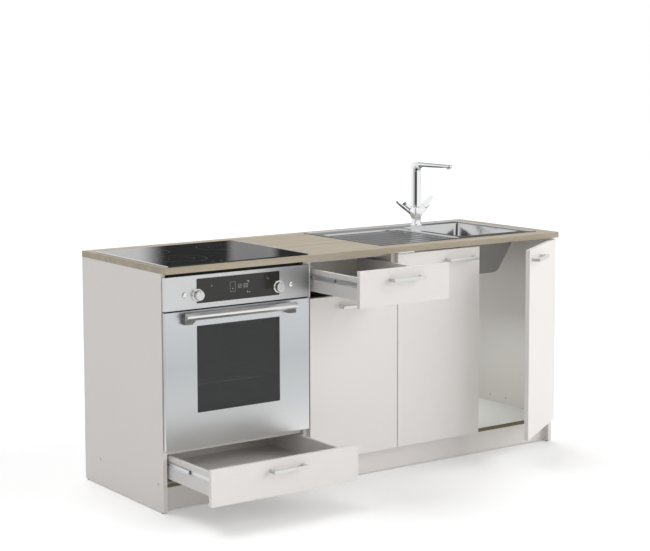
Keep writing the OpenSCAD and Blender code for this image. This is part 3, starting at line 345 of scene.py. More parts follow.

# Slides, hinges, shelf pins and oven casing: zinc-plated steel, a bright metal with a soft cloud on the
# construction's solids. The tray under the hob is black as painted shade of the gap above the oven.
zinc = finish("zinc", (0.84, 0.845, 0.85), 0.42, 1.0, scale=120.0, contrast=0.10)
dress(["shelf_pins", "slide_rails_fixed", "upper_drawer_slides", "upper_drawer_rails", "lower_drawer_slides",
       "lower_drawer_rails", "oven_casing", "oven_hinge_arms"], zinc)
dress(["hinge_arms", "drawer_unit_door_hinges", "sink_door_left_hinges", "sink_door_right_hinges"], zinc,
      0.0004)
# The tray's black is painted shade for the dark gap between the worktop and the oven front.
tray_shade_black = finish("tray_shade_black", (0.03, 0.03, 0.03), 0.6)
dress(["hob_tray"], tray_shade_black)


# Worktop: oak laminate with its grain along the run, the construction's solid with a broken edge.
# The grain is long noise bands with fine fibres and short dark pores over them.
def ramp(tree, value, stops):
    """A colour ramp over value. stops is a list of (position, (r, g, b))."""
    node = tree.nodes.new("ShaderNodeValToRGB")
    elements = node.color_ramp.elements
    for i, (position, colour) in enumerate(stops):
        element = elements[i] if i < 2 else elements.new(position)
        element.position = position
        element.color = (*colour, 1)
    feed(node.inputs[0], value)
    return node.outputs[0]


oak, tree, shader = new_material("oak_laminate")
place = tree.nodes.new("ShaderNodeTexCoord").outputs["Object"]
bands = drawn_noise(tree, place, (0.9, 14.0, 14.0), 1.5, 4.0)
fibres = drawn_noise(tree, place, (0.05, 1.0, 1.0), 420.0, 4.0)
pores = drawn_noise(tree, place, (0.035, 1.0, 1.0), 900.0, 2.0)
tone = ramp(tree, bands, [(0.30, (0.345, 0.291, 0.212)), (0.5, (0.412, 0.354, 0.266)),
                          (0.68, (0.462, 0.405, 0.316))])
fibre_tone = span(tree, fibres, 0.3, 0.7, 0.90, 1.08)
pore_tone = span(tree, pores, 0.25, 0.42, 0.80, 1.0)
feed(shader.inputs["Base Color"], scaled(tree, tone, math_step(tree, "MULTIPLY", fibre_tone, pore_tone)))
feed(shader.inputs["Roughness"], span(tree, fibres, 0.3, 0.7, 0.42, 0.55))
feed(shader.inputs["Normal"], relief(tree, pores, 0.4, 0.00008))
dress(["worktop"], oak, 0.0006)

# Doors and drawer fronts: smooth warm white laminate on the construction's boards, edges rounded.
# The drawers' sides, backs and bases are a duller grey board.
white_laminate = finish("white_laminate", (0.80, 0.77, 0.745), 0.36, contrast=0.012, scale=1200.0)
dress(["upper_drawer_front", "lower_drawer_front", "drawer_unit_door", "sink_door_left", "sink_door_right"],
      white_laminate, 0.0009)
drawer_melamine = finish("drawer_melamine", (0.74, 0.722, 0.70), 0.5, contrast=0.02)
dress(["upper_drawer_box", "lower_drawer_box"], drawer_melamine, board_edge)


# Bar handles: satin silver bows, one on each drawer and cupboard door, in three pieces.
# The bar is a long prism with a rounded section, the legs are two blocks under its ends.
def piece(name, points, faces, body, material, slot, smooth=False, edge=0.0, segments=2):
    """A mesh piece that rides on a body of the construction. edge rounds its sharp edges."""
    mesh = bpy.data.meshes.new(name)
    mesh.from_pydata(np.asarray(points).tolist(), [], [list(face) for face in faces])
    mesh.materials.append(material)
    shape = bmesh.new()
    shape.from_mesh(mesh)
    bmesh.ops.remove_doubles(shape, verts=shape.verts, dist=1e-7)
    shape.to_mesh(mesh)
    shape.free()
    mesh.polygons.foreach_set("use_smooth", [smooth] * len(mesh.polygons))
    mesh.update()
    thing = bpy.data.objects.new(name, mesh)
    bpy.context.collection.objects.link(thing)
    if edge:
        soften(thing, edge, segments, smooth)
    elif smooth:
        mesh.set_sharp_from_angle(angle=math.radians(38))
    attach(thing, body)
    return thing


def arc(centre, radius, start, end, steps):
    """Points c + r (cos t, sin t) for t from start to end, in degrees."""
    turns = np.radians(np.linspace(start, end, steps + 1))
    return np.column_stack([centre[0] + radius * np.cos(turns), centre[1] + radius * np.sin(turns)]).tolist()


def rounded_outline(x0, x1, y0, y1, r, steps):
    """A rectangle with round corners as one loop of four arcs."""
    return (arc((x1 - r, y1 - r), r, 0, 90, steps) + arc((x0 + r, y1 - r), r, 90, 180, steps)
            + arc((x0 + r, y0 + r), r, 180, 270, steps) + arc((x1 - r, y0 + r), r, 270, 360, steps))


def prism(outline, start, end, origin, u_way, v_way, w_way):
    """A prism: origin + u U + v V + w W for each (u, v) of the outline, at w = start and w = end."""
    flat = np.array(outline, float)
    u_way, v_way, w_way = (np.array(way, float) for way in (u_way, v_way, w_way))
    ring = np.array(origin, float) + flat[:, :1] * u_way + flat[:, 1:] * v_way
    points = np.concatenate([ring + start * w_way, ring + end * w_way])
    n = len(flat)
    index = np.arange(n)
    beside = np.roll(index, -1)
    sides = np.stack([index, beside, n + beside, n + index], -1)
    beyond = np.roll(flat, -1, 0)
    area = (flat[:, 0] * beyond[:, 1] - beyond[:, 0] * flat[:, 1]).sum()
    outwards = 1 if area * (end - start) * np.dot(np.cross(u_way, v_way), w_way) > 0 else -1
    faces = [*sides.tolist(), index[::-1].tolist(), (n + index).tolist()]
    return points, [face[::outwards] for face in faces]


X_WAY, Y_WAY, Z_WAY = np.eye(3)
satin_silver = finish("satin_silver", (0.73, 0.73, 0.715), 0.34, 1.0, (0.02, 1, 1), 500.0, 0.05)
handle_l, handle_h, handle_d = 0.140, 0.013, 0.032
bar_d, bar_edge = 0.009, 0.003
leg_w, leg_in_bar, leg_gap, leg_edge = 0.012, 0.004, 0.0008, 0.0008
leg_recess = 0.0001
door_turn = math.radians(32.3)


def handle_frame(node):
    """(middle of a handle's box, the direction along its front, the direction out of its front)."""
    low, high = (Vector(corner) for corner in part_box(node))
    angle = door_turn if node == "sink_door_right_handle" else 0.0
    along = Vector((math.cos(angle), math.sin(angle), 0))
    out = Vector((math.sin(angle), -math.cos(angle), 0))
    return (low + high) / 2, along, out


for front in ("upper_drawer", "lower_drawer", "drawer_unit_door", "sink_door_left", "sink_door_right"):
    middle, along, out = handle_frame(front + "_handle")
    corner = middle - along * handle_l / 2 - out * handle_d / 2 - Vector((0, 0, handle_h / 2))
    section = rounded_outline(handle_d - bar_d, handle_d, 0, handle_h, bar_edge, 4)
    bar = piece(front + "_bar", *prism(section, 0, handle_l, corner, out, Z_WAY, along), front, satin_silver,
                "satin_handles", smooth=True)
    leg_section = rectangle(0, handle_d - bar_d + leg_in_bar, leg_gap, handle_h - leg_gap)
    for i, start in enumerate((leg_recess, handle_l - leg_w + leg_recess)):
        leg = prism(leg_section, start, start + leg_w - 2 * leg_recess, corner, out, Z_WAY, along)
        piece(f"{front}_leg_{i}", *leg, front, satin_silver, "satin_handles", edge=leg_edge)
    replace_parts(bar, front + "_handle")


# The carcass floors' front edges: raw brown board between the white faces of each unit's floor.
# Each is a thin band laid on the edge, from one side panel to the other.
def front_plate(outline, front_y, back_y, origin=(0, 0, 0)):
    """A prism through the run's depth, over an outline in X and Z."""
    return prism(outline, front_y, back_y, origin, X_WAY, Z_WAY, Y_WAY)


raw_board = finish("raw_board", (0.155, 0.135, 0.078), 0.7, contrast=0.10, scale=400.0)
board_t, face_t = 0.016, 0.0008
band_out, band_in = 0.0003, 0.0002
floors_low, floors_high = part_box("carcass_floors")
for unit in ("oven_unit", "drawer_unit", "sink_unit"):
    unit_low, unit_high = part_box(unit + "_sides")
    outline = rectangle(unit_low[0] + board_t, unit_high[0] - board_t,
                        floors_low[2] + face_t, floors_high[2] - face_t)
    band = front_plate(outline, floors_low[1] - band_out, floors_low[1] + band_in)
    piece(unit + "_floor_edge", *band, "carcass", raw_board, "carcass_board")


# Sink top: a pressed steel sheet with a raised rim, a sunk and ribbed drainer and an edge that falls into
# the bowl's mouth. It is one height field over the distances inwards from the outlines of sheet, drainer
# and mouth: z = deck + rim(in_sheet) - sunk(in_drainer) + ribs - plunge(in_mouth).
def eased(t):
    """Smooth step from 0 to 1."""
    t = np.clip(t, 0, 1)
    return t * t * (3 - 2 * t)


def inside(x, y, low, high, r):
    """Distance inwards from a rectangle with round corners; negative outside it."""
    qx = np.abs(x - (low[0] + high[0]) / 2) - ((high[0] - low[0]) / 2 - r)
    qy = np.abs(y - (low[1] + high[1]) / 2) - ((high[1] - low[1]) / 2 - r)
    return r - np.hypot(np.maximum(qx, 0), np.maximum(qy, 0)) - np.minimum(np.maximum(qx, qy), 0)


def grid_lines(marks, pitches):
    """Grid lines through all the marks, at about one pitch in each stretch between them."""
    stretches = [np.linspace(start, end, max(2, round((end - start) / pitch) + 1))
                 for start, end, pitch in zip(marks, marks[1:], pitches)]
    return np.unique(np.round(np.concatenate(stretches), 6))


def least(values, quads):
    """The least of the values at the corners of each quad."""
    return values.ravel()[quads].min(1)


sink_steel = finish("sink_steel", (0.56, 0.565, 0.57), 0.13, 1.0, (0.03, 1, 1), 700.0, 0.05, 0.00001)
# The drainer's steel is a much darker copy of the sink steel: painted reflection.
drainer_reflection_steel = finish("drainer_reflection_steel", (0.155, 0.157, 0.16), 0.18, 1.0, (0.03, 1, 1), 700.0, 0.08, 0.00001)
rim_shade = finish("rim_shade", (0.09, 0.09, 0.088), 0.35, 1.0, contrast=0)
sink_low, sink_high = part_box("sink")
bowl_low, bowl_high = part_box("sink_bowl")
weld_w = 0.005
sheet_r, mouth_r, drain_r = 0.018, 0.022, 0.016
rim_h, rim_flat, rim_fall, rim_round, skirt_h = 0.003, 0.005, 0.004, 0.0015, 0.004
deck = sink_high[2] - rim_h
mouth_low = (bowl_low[0] + weld_w, bowl_low[1] + weld_w)
mouth_high = (bowl_high[0] - weld_w, bowl_high[1] - weld_w)
drain_border, drain_to_mouth, drain_to_back = 0.034, 0.026, 0.088
drain_low = (sink_low[0] + drain_border, sink_low[1] + drain_border)
drain_high = (mouth_low[0] - drain_to_mouth, sink_high[1] - drain_to_back)
drain_depth, drain_fall = 0.007, 0.010
rib_count, rib_half, rib_h = 6, 0.0060, 0.0026
rib_gap, rib_run_out, rib_clear, rib_fade = 0.016, 0.012, 0.012, 0.008
plunge_slope, plunge_w = 8.0, 0.0015
# The grid is fine at the rim and the mouth, less so at the ribs' ends, and coarse between them
over, rim_zone, rib_zone, mouth_zone = 0.001, 0.012, 0.05, 0.008
rim_pitch, mouth_pitch, slope_pitch, depth_pitch, plain_pitch = 0.0008, 0.0015, 0.002, 0.0018, 0.010
x_marks = [sink_low[0] - over, sink_low[0] + rim_zone, drain_low[0] + rib_zone, drain_high[0] - rib_zone,
           mouth_low[0] + mouth_zone, mouth_high[0] - mouth_zone, sink_high[0] - rim_zone,
           sink_high[0] + over]
y_marks = [sink_low[1] - over, sink_low[1] + rim_zone, sink_high[1] - rim_zone, sink_high[1] + over]
xs = grid_lines(x_marks, [rim_pitch, slope_pitch, plain_pitch, mouth_pitch, plain_pitch, mouth_pitch,
                          rim_pitch])
ys = grid_lines(y_marks, [rim_pitch, depth_pitch, rim_pitch])
x, y = np.meshgrid(xs, ys)
in_sheet = inside(x, y, sink_low, sink_high, sheet_r)
in_drainer = inside(x, y, drain_low, drain_high, drain_r)
in_mouth = inside(x, y, mouth_low, mouth_high, mouth_r)
rim = rim_h * (1 - eased((in_sheet - rim_flat) / rim_fall))
rounding = np.sqrt(np.maximum(rim_round ** 2 - (rim_round - np.maximum(in_sheet, 0)) ** 2, 0))
rim = np.where(in_sheet < rim_round, rim_h - rim_round + rounding, rim)
rim = np.where(in_sheet < 0, -skirt_h, rim)
sunk = drain_depth * eased(in_drainer / drain_fall)
rib_pitch = (drain_high[1] - drain_low[1]) / (rib_count + 1)
from_rib = np.abs((y - drain_low[1] + rib_pitch / 2) % rib_pitch - rib_pitch / 2)
from_end = np.minimum(x - drain_low[0], drain_high[0] - x)
rib_ends = eased((from_end - rib_gap) / rib_run_out)
rib_sides = eased((in_drainer - rib_clear) / rib_fade)
ribs = rib_h * eased(1 - from_rib / rib_half) * rib_ends * rib_sides
plunge = plunge_slope * np.maximum(in_mouth, 0)
z = deck + rim - sunk + ribs - plunge
index = np.arange(x.size).reshape(x.shape)
quads = np.stack([index[:-1, :-1], index[:-1, 1:], index[1:, 1:], index[1:, :-1]], -1).reshape(-1, 4)
quads = quads[least(in_mouth, quads) < plunge_w]
used, faces = np.unique(quads, return_inverse=True)
sink_top = piece("sink_top", np.stack([x, y, z], -1).reshape(-1, 3)[used], faces.reshape(-1, 4), "carcass",
                 sink_steel, "brushed_steel", smooth=True)
sink_top.data.materials.append(drainer_reflection_steel)
sink_top.data.materials.append(rim_shade)
# Slot 1 is the drainer from the middle of its slope inwards, darker as painted reflection, and slot 2 the
# rim's rounding in painted shade
slope_middle = 0.006
slots = (least(in_drainer, quads) > slope_middle) * 1 + (least(in_sheet, quads) < rim_round + 0.0001) * 2
sink_top.data.polygons.foreach_set("material_index", slots)
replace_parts(sink_top, "sink")


# Bowl: a tapering steel tub with a rolled lip, grey sound damping on its outer side.
# Rounded rectangles, each drawn inwards and down a little from the last, end in the strainer's round hole.
def rounded_ring(low, high, inset, r, z, steps=8, side=8):
    """A closed ring round a rectangle drawn in by inset: corner arcs c + r (cos t, sin t) and straights."""
    near, far = np.array(low[:2]) + inset + r, np.array(high[:2]) - inset - r
    centres = np.array([(far[0], far[1]), (near[0], far[1]), (near[0], near[1]), (far[0], near[1])])
    turns = np.radians(90 * np.arange(4)[:, None] + np.linspace(0, 90, steps + 1))
    corners = centres[:, None] + r * np.stack([np.cos(turns), np.sin(turns)], -1)
    share = np.linspace(0, 1, side + 2)[1:-1, None]
    straights = corners[:, -1:] * (1 - share) + np.roll(corners, -1, 0)[:, :1] * share
    ring = np.concatenate([corners, straights], 1).reshape(-1, 2)
    return np.column_stack([ring, np.full(len(ring), z)])


def tube_faces(rows, around):
    """Quads of a grid of points that closes on itself round its second axis."""
    index = np.arange(rows * around).reshape(rows, around)
    beside = np.roll(index, -1, 1)
    return np.stack([index[:-1], beside[:-1], beside[1:], index[1:]], -1).reshape(-1, 4).tolist()


sheet_t, skin = 0.001, 0.0001
bowl_floor = bowl_low[2] + sheet_t + 2 * skin
lean_in = 0.056
taper = lean_in / (deck - bowl_floor)
lean = math.atan(taper)
lip_r, foot_r = 0.003, 0.022
# (inset, height) down the inside: the lip's arc, the leaning wall, the foot's arc
lip = [(lip_r * (math.sin(t) - 1), deck + skin - lip_r * (1 - math.cos(t)))
       for t in np.linspace(0, math.pi / 2 - lean, 6)]
foot_top = bowl_floor + foot_r * (1 - math.sin(lean))
wall = [((deck - z) * taper, z) for z in np.linspace(lip[-1][1], foot_top, 14)[1:]]
foot = [(wall[-1][0] + foot_r * (math.cos(lean) - math.cos(t)), bowl_floor + foot_r * (1 - math.sin(t)))
        for t in np.linspace(lean, math.pi / 2, 7)[1:]]
rings = [rounded_ring(mouth_low, mouth_high, inset, mouth_r, z) for inset, z in lip + wall + foot]
strainer_r = 0.0455
bowl_x, bowl_y = (mouth_low[0] + mouth_high[0]) / 2, (mouth_low[1] + mouth_high[1]) / 2
last = rings[-1]
angles = np.arctan2(last[:, 1] - bowl_y, last[:, 0] - bowl_x)
hole = np.stack([bowl_x + strainer_r * np.cos(angles), bowl_y + strainer_r * np.sin(angles),
                 np.full(len(last), bowl_floor)], -1)
rings += [last * (1 - share) + hole * share for share in (0.3, 0.6, 0.85, 1.0)]
# The bowl's steel is a slightly brighter copy of the sink steel: painted light.
bowl_lit_steel = finish("bowl_lit_steel", (0.575, 0.578, 0.582), 0.14, 1.0, contrast=0.03, scale=500.0)
bowl = piece("sink_tub", np.concatenate(rings), tube_faces(len(rings), len(last)), "carcass", bowl_lit_steel,
             "brushed_steel", smooth=True)
damping_grey = finish("damping_grey", (0.33, 0.33, 0.32), 0.75, contrast=0.05, scale=300.0)
bowl.data.materials.append(damping_grey)
shell = bowl.modifiers.new("sheet", "SOLIDIFY")
shell.thickness = sheet_t
shell.offset = -1
shell.material_offset = 1
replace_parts(bowl, "sink_bowl")
dress(["sink_waste"], sink_steel, 0.0003)


# Tap: polished chrome. The swivelling spout is a bevelled section carried up the column, round the bend and
# along the flat arm to its round tip, with a round nozzle and its dark mouth under the tip.
def lathe(profile, place, segments=48, capped=True):
    """A turned form: (r cos a, r sin a, h) for each (r, h) of the profile, placed by a matrix."""
    r, h = np.array(profile, float).T[:, :, None]
    turns = np.linspace(0, 2 * np.pi, segments, endpoint=False)
    grid = np.stack([r * np.cos(turns), r * np.sin(turns), h + 0 * turns], -1).reshape(-1, 3)
    turned = np.array(place.to_3x3())
    faces = tube_faces(len(profile), segments)
    if capped and profile[0][0] > 0:
        faces.append(list(range(segments - 1, -1, -1)))
    if capped and profile[-1][0] > 0:
        faces.append(list(range((len(profile) - 1) * segments, len(profile) * segments)))
    return grid @ turned.T + np.array(place.translation), faces


def spout_section(half_width, depth):
    """Points (x, share of the depth): flat front, 45 degree bevels, sides that bulge, rounded back."""
    bevel, back_r, bulge = min(0.0065, depth * 0.45), min(0.003, depth * 0.3), 0.0006
    share = np.linspace(0, 1, 7)
    side = [half_width - bulge + bulge * 4 * share * (1 - share), bevel + share * (depth - back_r - bevel)]
    turns = np.radians([22.5, 45, 67.5, 90])
    back_x, back_t = half_width - bulge - back_r * (1 - np.cos(turns)), depth - back_r * (1 - np.sin(turns))
    right = np.array([[half_width - bulge - bevel, *side[0], *back_x], [0, *side[1], *back_t]]).T
    ring = np.concatenate([right, right[::-1] * (-1, 1)])
    return ring / (1, depth)


chrome = finish("chrome", (0.87, 0.88, 0.89), 0.06, 1.0, contrast=0)


def chrome_piece(name, shape, body="carcass", edge=0.0, segments=2):
    """A polished piece of the tap from (points, faces)."""
    return piece(name, *shape, body, chrome, "chrome", smooth=True, edge=edge, segments=segments)


spout_low, spout_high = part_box("tap_spout")
back, top = spout_high[1], spout_high[2]
column_w = spout_high[0] - spout_low[0]
column_d = 0.033
column_x = (spout_low[0] + spout_high[0]) / 2
column_front = back - column_d
spout_t, tip_t, tip_l, bend_r = 0.016, 0.011, 0.016, 0.023
bend_y, bend_z = column_front - bend_r, top - spout_t - bend_r
# Both lines run up the column, round the bend and along the arm. The outer bend is a superellipse's corner.
rise = np.linspace(spout_low[2], bend_z, 6)[:, None]
turns = np.radians(np.linspace(0, 90, 15)[1:-1, None])
inner_bend = np.hstack([bend_y + bend_r * np.cos(turns), bend_z + bend_r * np.sin(turns)])
sharpness = 12
reach = ((np.cos(turns) / (back - bend_y)) ** sharpness
         + (np.sin(turns) / (top - bend_z)) ** sharpness) ** (-1 / sharpness)
outer_bend = np.hstack([bend_y + reach * np.cos(turns), bend_z + reach * np.sin(turns)])
run = np.linspace(0, 1, 12)[:, None]
arm_y = bend_y + (spout_low[1] - bend_y) * np.sin(run * math.pi / 2)
arm_under = top - spout_t + (spout_t - tip_t) * (bend_y - arm_y) / (bend_y - spout_low[1])
inner_column, outer_column = (np.hstack([0 * rise + y, rise]) for y in (column_front, back))
inner_line = np.vstack([inner_column, inner_bend, np.hstack([arm_y, arm_under])])
outer_line = np.vstack([outer_column, outer_bend, np.hstack([arm_y, 0 * arm_y + top])])
# The arm's width falls as a quarter ellipse over its last stretch, so that the tip is round
tip_share = 0.30
from_tip = np.clip((inner_line[:, 0] - spout_low[1]) / tip_l, 0, 1)
narrowed = tip_share + (1 - tip_share) * np.sqrt(1 - (1 - from_tip) ** 2)
half_widths = column_w / 2 * np.where(from_tip < 1, narrowed, 1)
rings = []
for near, far, half_width in zip(inner_line, outer_line, half_widths):
    section = spout_section(half_width, np.hypot(*(far - near)))
    line = near + section[:, 1:] * (far - near)
    rings.append(np.column_stack([column_x + section[:, 0], line]))
around = len(rings[0])
faces = tube_faces(len(rings), around)
faces += [list(range(around - 1, -1, -1)), list(range((len(rings) - 1) * around, len(rings) * around))]
spout = chrome_piece("spout", (np.concatenate(rings), faces), "tap_spout")
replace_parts(spout, "tap_spout")
nozzle_in, nozzle_drop = 0.017, 0.005
nozzle_at = Matrix.Translation((column_x, spout_low[1] + nozzle_in, top - tip_t - nozzle_drop))
nozzle = [(0.0, 0.001), (0.0082, 0.001), (0.0085, 0.0), (0.0102, 0.0), (0.0105, 0.0006), (0.0105, 0.008)]
chrome_piece("nozzle", lathe(nozzle, nozzle_at), "tap_spout")
# The mouth is a black disc just inside the nozzle: painted shade of its hollow.
mouth = [(0.0, 0.0004), (0.0080, 0.0004), (0.0080, 0.0012), (0.0, 0.0012)]
piece("nozzle_mouth_shade", *lathe(mouth, nozzle_at), "tap_spout", black_plastic, "chrome", smooth=True)

# Tap body: the same chrome. The branch is the outline of a Y with hollow curves, as a rounded prism
# between a round foot with its shank through the deck and the square neck under the spout.
swivel_gap = 0.0002
tap_foot = deck + swivel_gap
arm_rise, arm_l, arm_d = 0.043, 0.048, 0.026
lever_angle = math.radians(36)
tap_y = spout_high[1] - column_d / 2
neck_low, neck_top = 0.030, spout_low[2] - swivel_gap - tap_foot
branch_low, hollow_r, shoulder_w = 0.002, 0.034, 0.003
cos_a, sin_a = math.cos(lever_angle), math.sin(lever_angle)
# Under the arm, an arc that touches both the neck's side and the arm's lower edge
half_w = column_w / 2
arc_x = half_w + hollow_r
arc_z = arm_rise + (arc_x * sin_a - arm_d / 2 - hollow_r) / cos_a
under = arc((arc_x, arc_z), hollow_r, 180, 90 + math.degrees(lever_angle), 10)
end_low = (arm_l * cos_a + arm_d / 2 * sin_a, arm_rise + arm_l * sin_a - arm_d / 2 * cos_a)
end_high = (arm_l * cos_a - arm_d / 2 * sin_a, arm_rise + arm_l * sin_a + arm_d / 2 * cos_a)
shoulder_x = half_w + shoulder_w
shoulder = (shoulder_x, arm_rise + shoulder_x * sin_a / cos_a + arm_d / 2 / cos_a)
half = [(half_w, branch_low), *under, end_low, end_high, shoulder, (half_w, neck_top)]
outline = half + [(-x, z) for x, z in reversed(half)]
thick = arm_d / 2 - 0.0005
branch = front_plate(outline, tap_y - thick, tap_y + thick, (column_x, 0, tap_foot))
tap_body = chrome_piece("tap_branch", branch, edge=0.007, segments=6)
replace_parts(tap_body, "tap_body")
foot_at = Matrix.Translation((column_x, tap_y, tap_foot))
foot = [(0.0, 0.0), (0.0230, 0.0), (0.0230, 0.0035), (0.0222, 0.005), (0.0185, 0.0055), (0.0175, 0.012),
        (0.0168, 0.02)]
chrome_piece("tap_foot", lathe(foot, foot_at))
shank = [(0.016, -0.07), (0.016, -0.016), (0.019, -0.016), (0.019, -0.010), (0.016, -0.010), (0.016, 0.0)]
chrome_piece("tap_shank", lathe(shank, foot_at))
neck = prism(rectangle(-half_w, half_w, -column_d / 2, column_d / 2), tap_foot + neck_low,
             tap_foot + neck_top, (column_x, tap_y, 0), X_WAY, Y_WAY, Z_WAY)
chrome_piece("tap_neck", neck, edge=0.0055, segments=5)

# Tap levers: each is a turned hub at the end of an arm, with a flat blade along one side. The left blade
# lies under its hub, and the right one is turned to the back.
lever_l, hub_l, blade_w, blade_t, tip_r = 0.072, 0.030, 0.024, 0.006, 0.009
hub_r = arm_d / 2
hub_gap, blade_out, blade_from = 0.0003, 0.001, 0.002
hub = [(0, 0), (hub_r - 0.0006, 0), (hub_r - 0.0006, 0.001), (hub_r, 0.0014), (hub_r, hub_l - 0.003),
       (hub_r - 0.0008, hub_l - 0.0008), (hub_r - 0.002, hub_l), (hub_r - 0.0026, hub_l), (0, hub_l)]
blade = (rectangle(-blade_w / 2, blade_w / 2, blade_from, hub_l + blade_from)[:3]
         + arc((0, lever_l - tip_r), tip_r, 30, 150, 10) + [(-blade_w / 2, hub_l + blade_from)])
for side, name, turned in ((-1, "tap_lever_left", 0.0), (1, "tap_lever_right", 90.0)):
    axis = Vector((side * cos_a, 0, sin_a))
    below = Vector((side * sin_a, 0, -cos_a))
    across = Vector((0, 1, 0))
    turn = math.radians(turned)
    blade_side = below * math.cos(turn) + across * math.sin(turn)
    blade_across = across * math.cos(turn) - below * math.sin(turn)
    start = Vector((column_x, tap_y, tap_foot + arm_rise)) + axis * (arm_l + hub_gap)
    hub_at = Matrix.Translation(start) @ Matrix((blade_side, blade_across, axis)).transposed().to_4x4()
    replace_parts(chrome_piece(name + "_hub", lathe(hub, hub_at), name), name)
    blade_high = hub_r + blade_out
    flat = prism(blade, blade_high - blade_t, blade_high, start, blade_across, axis, blade_side)
    chrome_piece(name + "_blade", flat, name, edge=0.0016, segments=3)

# Hob: black ceramic glass with steel edging at its sides, both the construction's solids with rounded
# edges. Printed on the glass lie four pairs of fine rings, the touch marks and one small lit figure.
black_glass = finish("black_glass", (0.008, 0.008, 0.009), 0.035, contrast=0)
dress(["hob_glass"], black_glass, 0.0008)
trim_steel = finish("trim_steel", (0.72, 0.73, 0.74), 0.22, 1.0, (1, 0.03, 1), 500.0, 0.05)
dress(["hob_trim"], trim_steel, 0.0006)
print_grey = finish("print_grey", (0.16, 0.16, 0.165), 0.5, contrast=0)


def flat_ring(centre, inner, outer, z, segments=72):
    """A flat ring facing up: a turned form whose profile runs inwards at one height."""
    return lathe([(outer, 0), (inner, 0)], Matrix.Translation((*centre, z)), segments, capped=False)


def flat_bar(x0, x1, y0, y1, z):
    """One flat rectangle facing up."""
    return [(x, y, z) for x, y in rectangle(x0, x1, y0, y1)], [(0, 1, 2, 3)]


def joined_parts(parts):
    """Several (points, faces) as one."""
    starts = np.cumsum([0] + [len(points) for points, faces in parts])
    faces = [[int(start) + i for i in face] for start, (points, part_faces) in zip(starts, parts)
             for face in part_faces]
    return np.concatenate([points for points, faces in parts]), faces


glass_low, glass_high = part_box("hob_glass")
glass_w, glass_d = glass_high[0] - glass_low[0], glass_high[1] - glass_low[1]
print_z = glass_high[2] + 0.00008
ring_line, thin_line = 0.0007, 0.0005
parts = []
for u, v, r in ((0.25, 0.30, 0.090), (0.75, 0.27, 0.0725), (0.25, 0.74, 0.0725), (0.75, 0.70, 0.090)):
    centre = (glass_low[0] + u * glass_w, glass_low[1] + v * glass_d)
    parts.append(flat_ring(centre, r - ring_line, r, print_z))
    parts.append(flat_ring(centre, r / 2, r / 2 + thin_line, print_z))
# Six round touch marks, three with a plus in them and three with a minus
key_y = glass_low[1] + 0.030
key_r, key_ring, key_half, key_line = 0.0070, 0.0005, 0.0035, 0.0006
for u, sign in ((0.34, "-"), (0.40, "+"), (0.46, "+"), (0.58, "-"), (0.64, "+"), (0.70, "-")):
    x = glass_low[0] + u * glass_w
    parts.append(flat_ring((x, key_y), key_r - key_ring, key_r, print_z, 32))
    parts.append(flat_bar(x - key_half, x + key_half, key_y - key_line, key_y + key_line, print_z))
    if sign == "+":
        parts.append(flat_bar(x - key_line, x + key_line, key_y - key_half, key_y + key_half, print_z))
piece("hob_print", *joined_parts(parts), "carcass", print_grey, "black_glass")

SEGMENTS = {"0": "abcdef", "1": "bc", "2": "abged", "3": "abgcd", "5": "afgcd"}


def figure(text, x, v, size):
    """Flat bars of seven-segment digits as (x0, x1, v0, v1), starting at (x, v)."""
    w, h, t = size * 0.55, size, size * 0.11
    spots = {"a": (0, w, h - t, h), "g": (0, w, h / 2 - t / 2, h / 2 + t / 2), "d": (0, w, 0, t),
             "f": (0, t, h / 2, h), "b": (w - t, w, h / 2, h), "e": (0, t, 0, h / 2),
             "c": (w - t, w, 0, h / 2)}
    bars = []
    for sign in text:
        if sign == ":":
            bars += [(x, x + t, v + h * 0.28, v + h * 0.28 + t), (x, x + t, v + h * 0.62, v + h * 0.62 + t)]
            x += t * 3
            continue
        for spot in SEGMENTS[sign]:
            x0, x1, v0, v1 = spots[spot]
            bars.append((x + x0, x + x1, v + v0, v + v1))
        x += w * 1.45
    return bars


def lit(name, colour, strength):
    """A material that glows faintly by itself."""
    material, tree, light = new_material(name, "ShaderNodeEmission")
    light.inputs["Color"].default_value = (*colour, 1)
    light.inputs["Strength"].default_value = strength
    return material


red_light = lit("red_light", (1.0, 0.06, 0.03), 0.9)
digit_h = 0.011
digit_at = (glass_low[0] + 0.515 * glass_w, key_y - 0.005)
parts = [flat_bar(*bar, print_z) for bar in figure("5", *digit_at, digit_h)]
piece("hob_figure", *joined_parts(parts), "carcass", red_light, "black_glass")


# Oven front: brushed stainless steel, the construction's folded panels with rounded edges. The grain runs
# along the run. Painted reflection darkens the panel at its right end and the door at mid height.
def graded_steel(name, axis, stops, roughness):
    """Brushed steel whose tone follows a ramp over the object's X or Z, given in metres."""
    material = finish(name, (1.0, 1.0, 1.0), roughness, 1.0, (0.02, 1, 1), 900.0, 0.10, 0.00001)
    tree = material.node_tree
    parts = tree.nodes.new("ShaderNodeSeparateXYZ")
    feed(parts.inputs[0], tree.nodes.new("ShaderNodeTexCoord").outputs["Object"])
    feed(tree.nodes["Group"].inputs["Colour"], ramp(tree, parts.outputs[axis], stops))
    return material


panel_reflection_tones = [(0.0, (0.64, 0.643, 0.645)), (0.45, (0.58, 0.587, 0.594)), (0.56, (0.44, 0.444, 0.448)),
               (0.60, (0.30, 0.30, 0.30))]
door_reflection_tones = [(0.22, (0.73, 0.735, 0.73)), (0.34, (0.60, 0.617, 0.623)), (0.50, (0.51, 0.532, 0.547)),
              (0.70, (0.61, 0.635, 0.652))]
dress(["oven_control_panel"], graded_steel("panel_steel", "X", panel_reflection_tones, 0.30), 0.0008)
dress(["oven_door_panel"], graded_steel("door_steel", "Z", door_reflection_tones, 0.32), 0.0008)
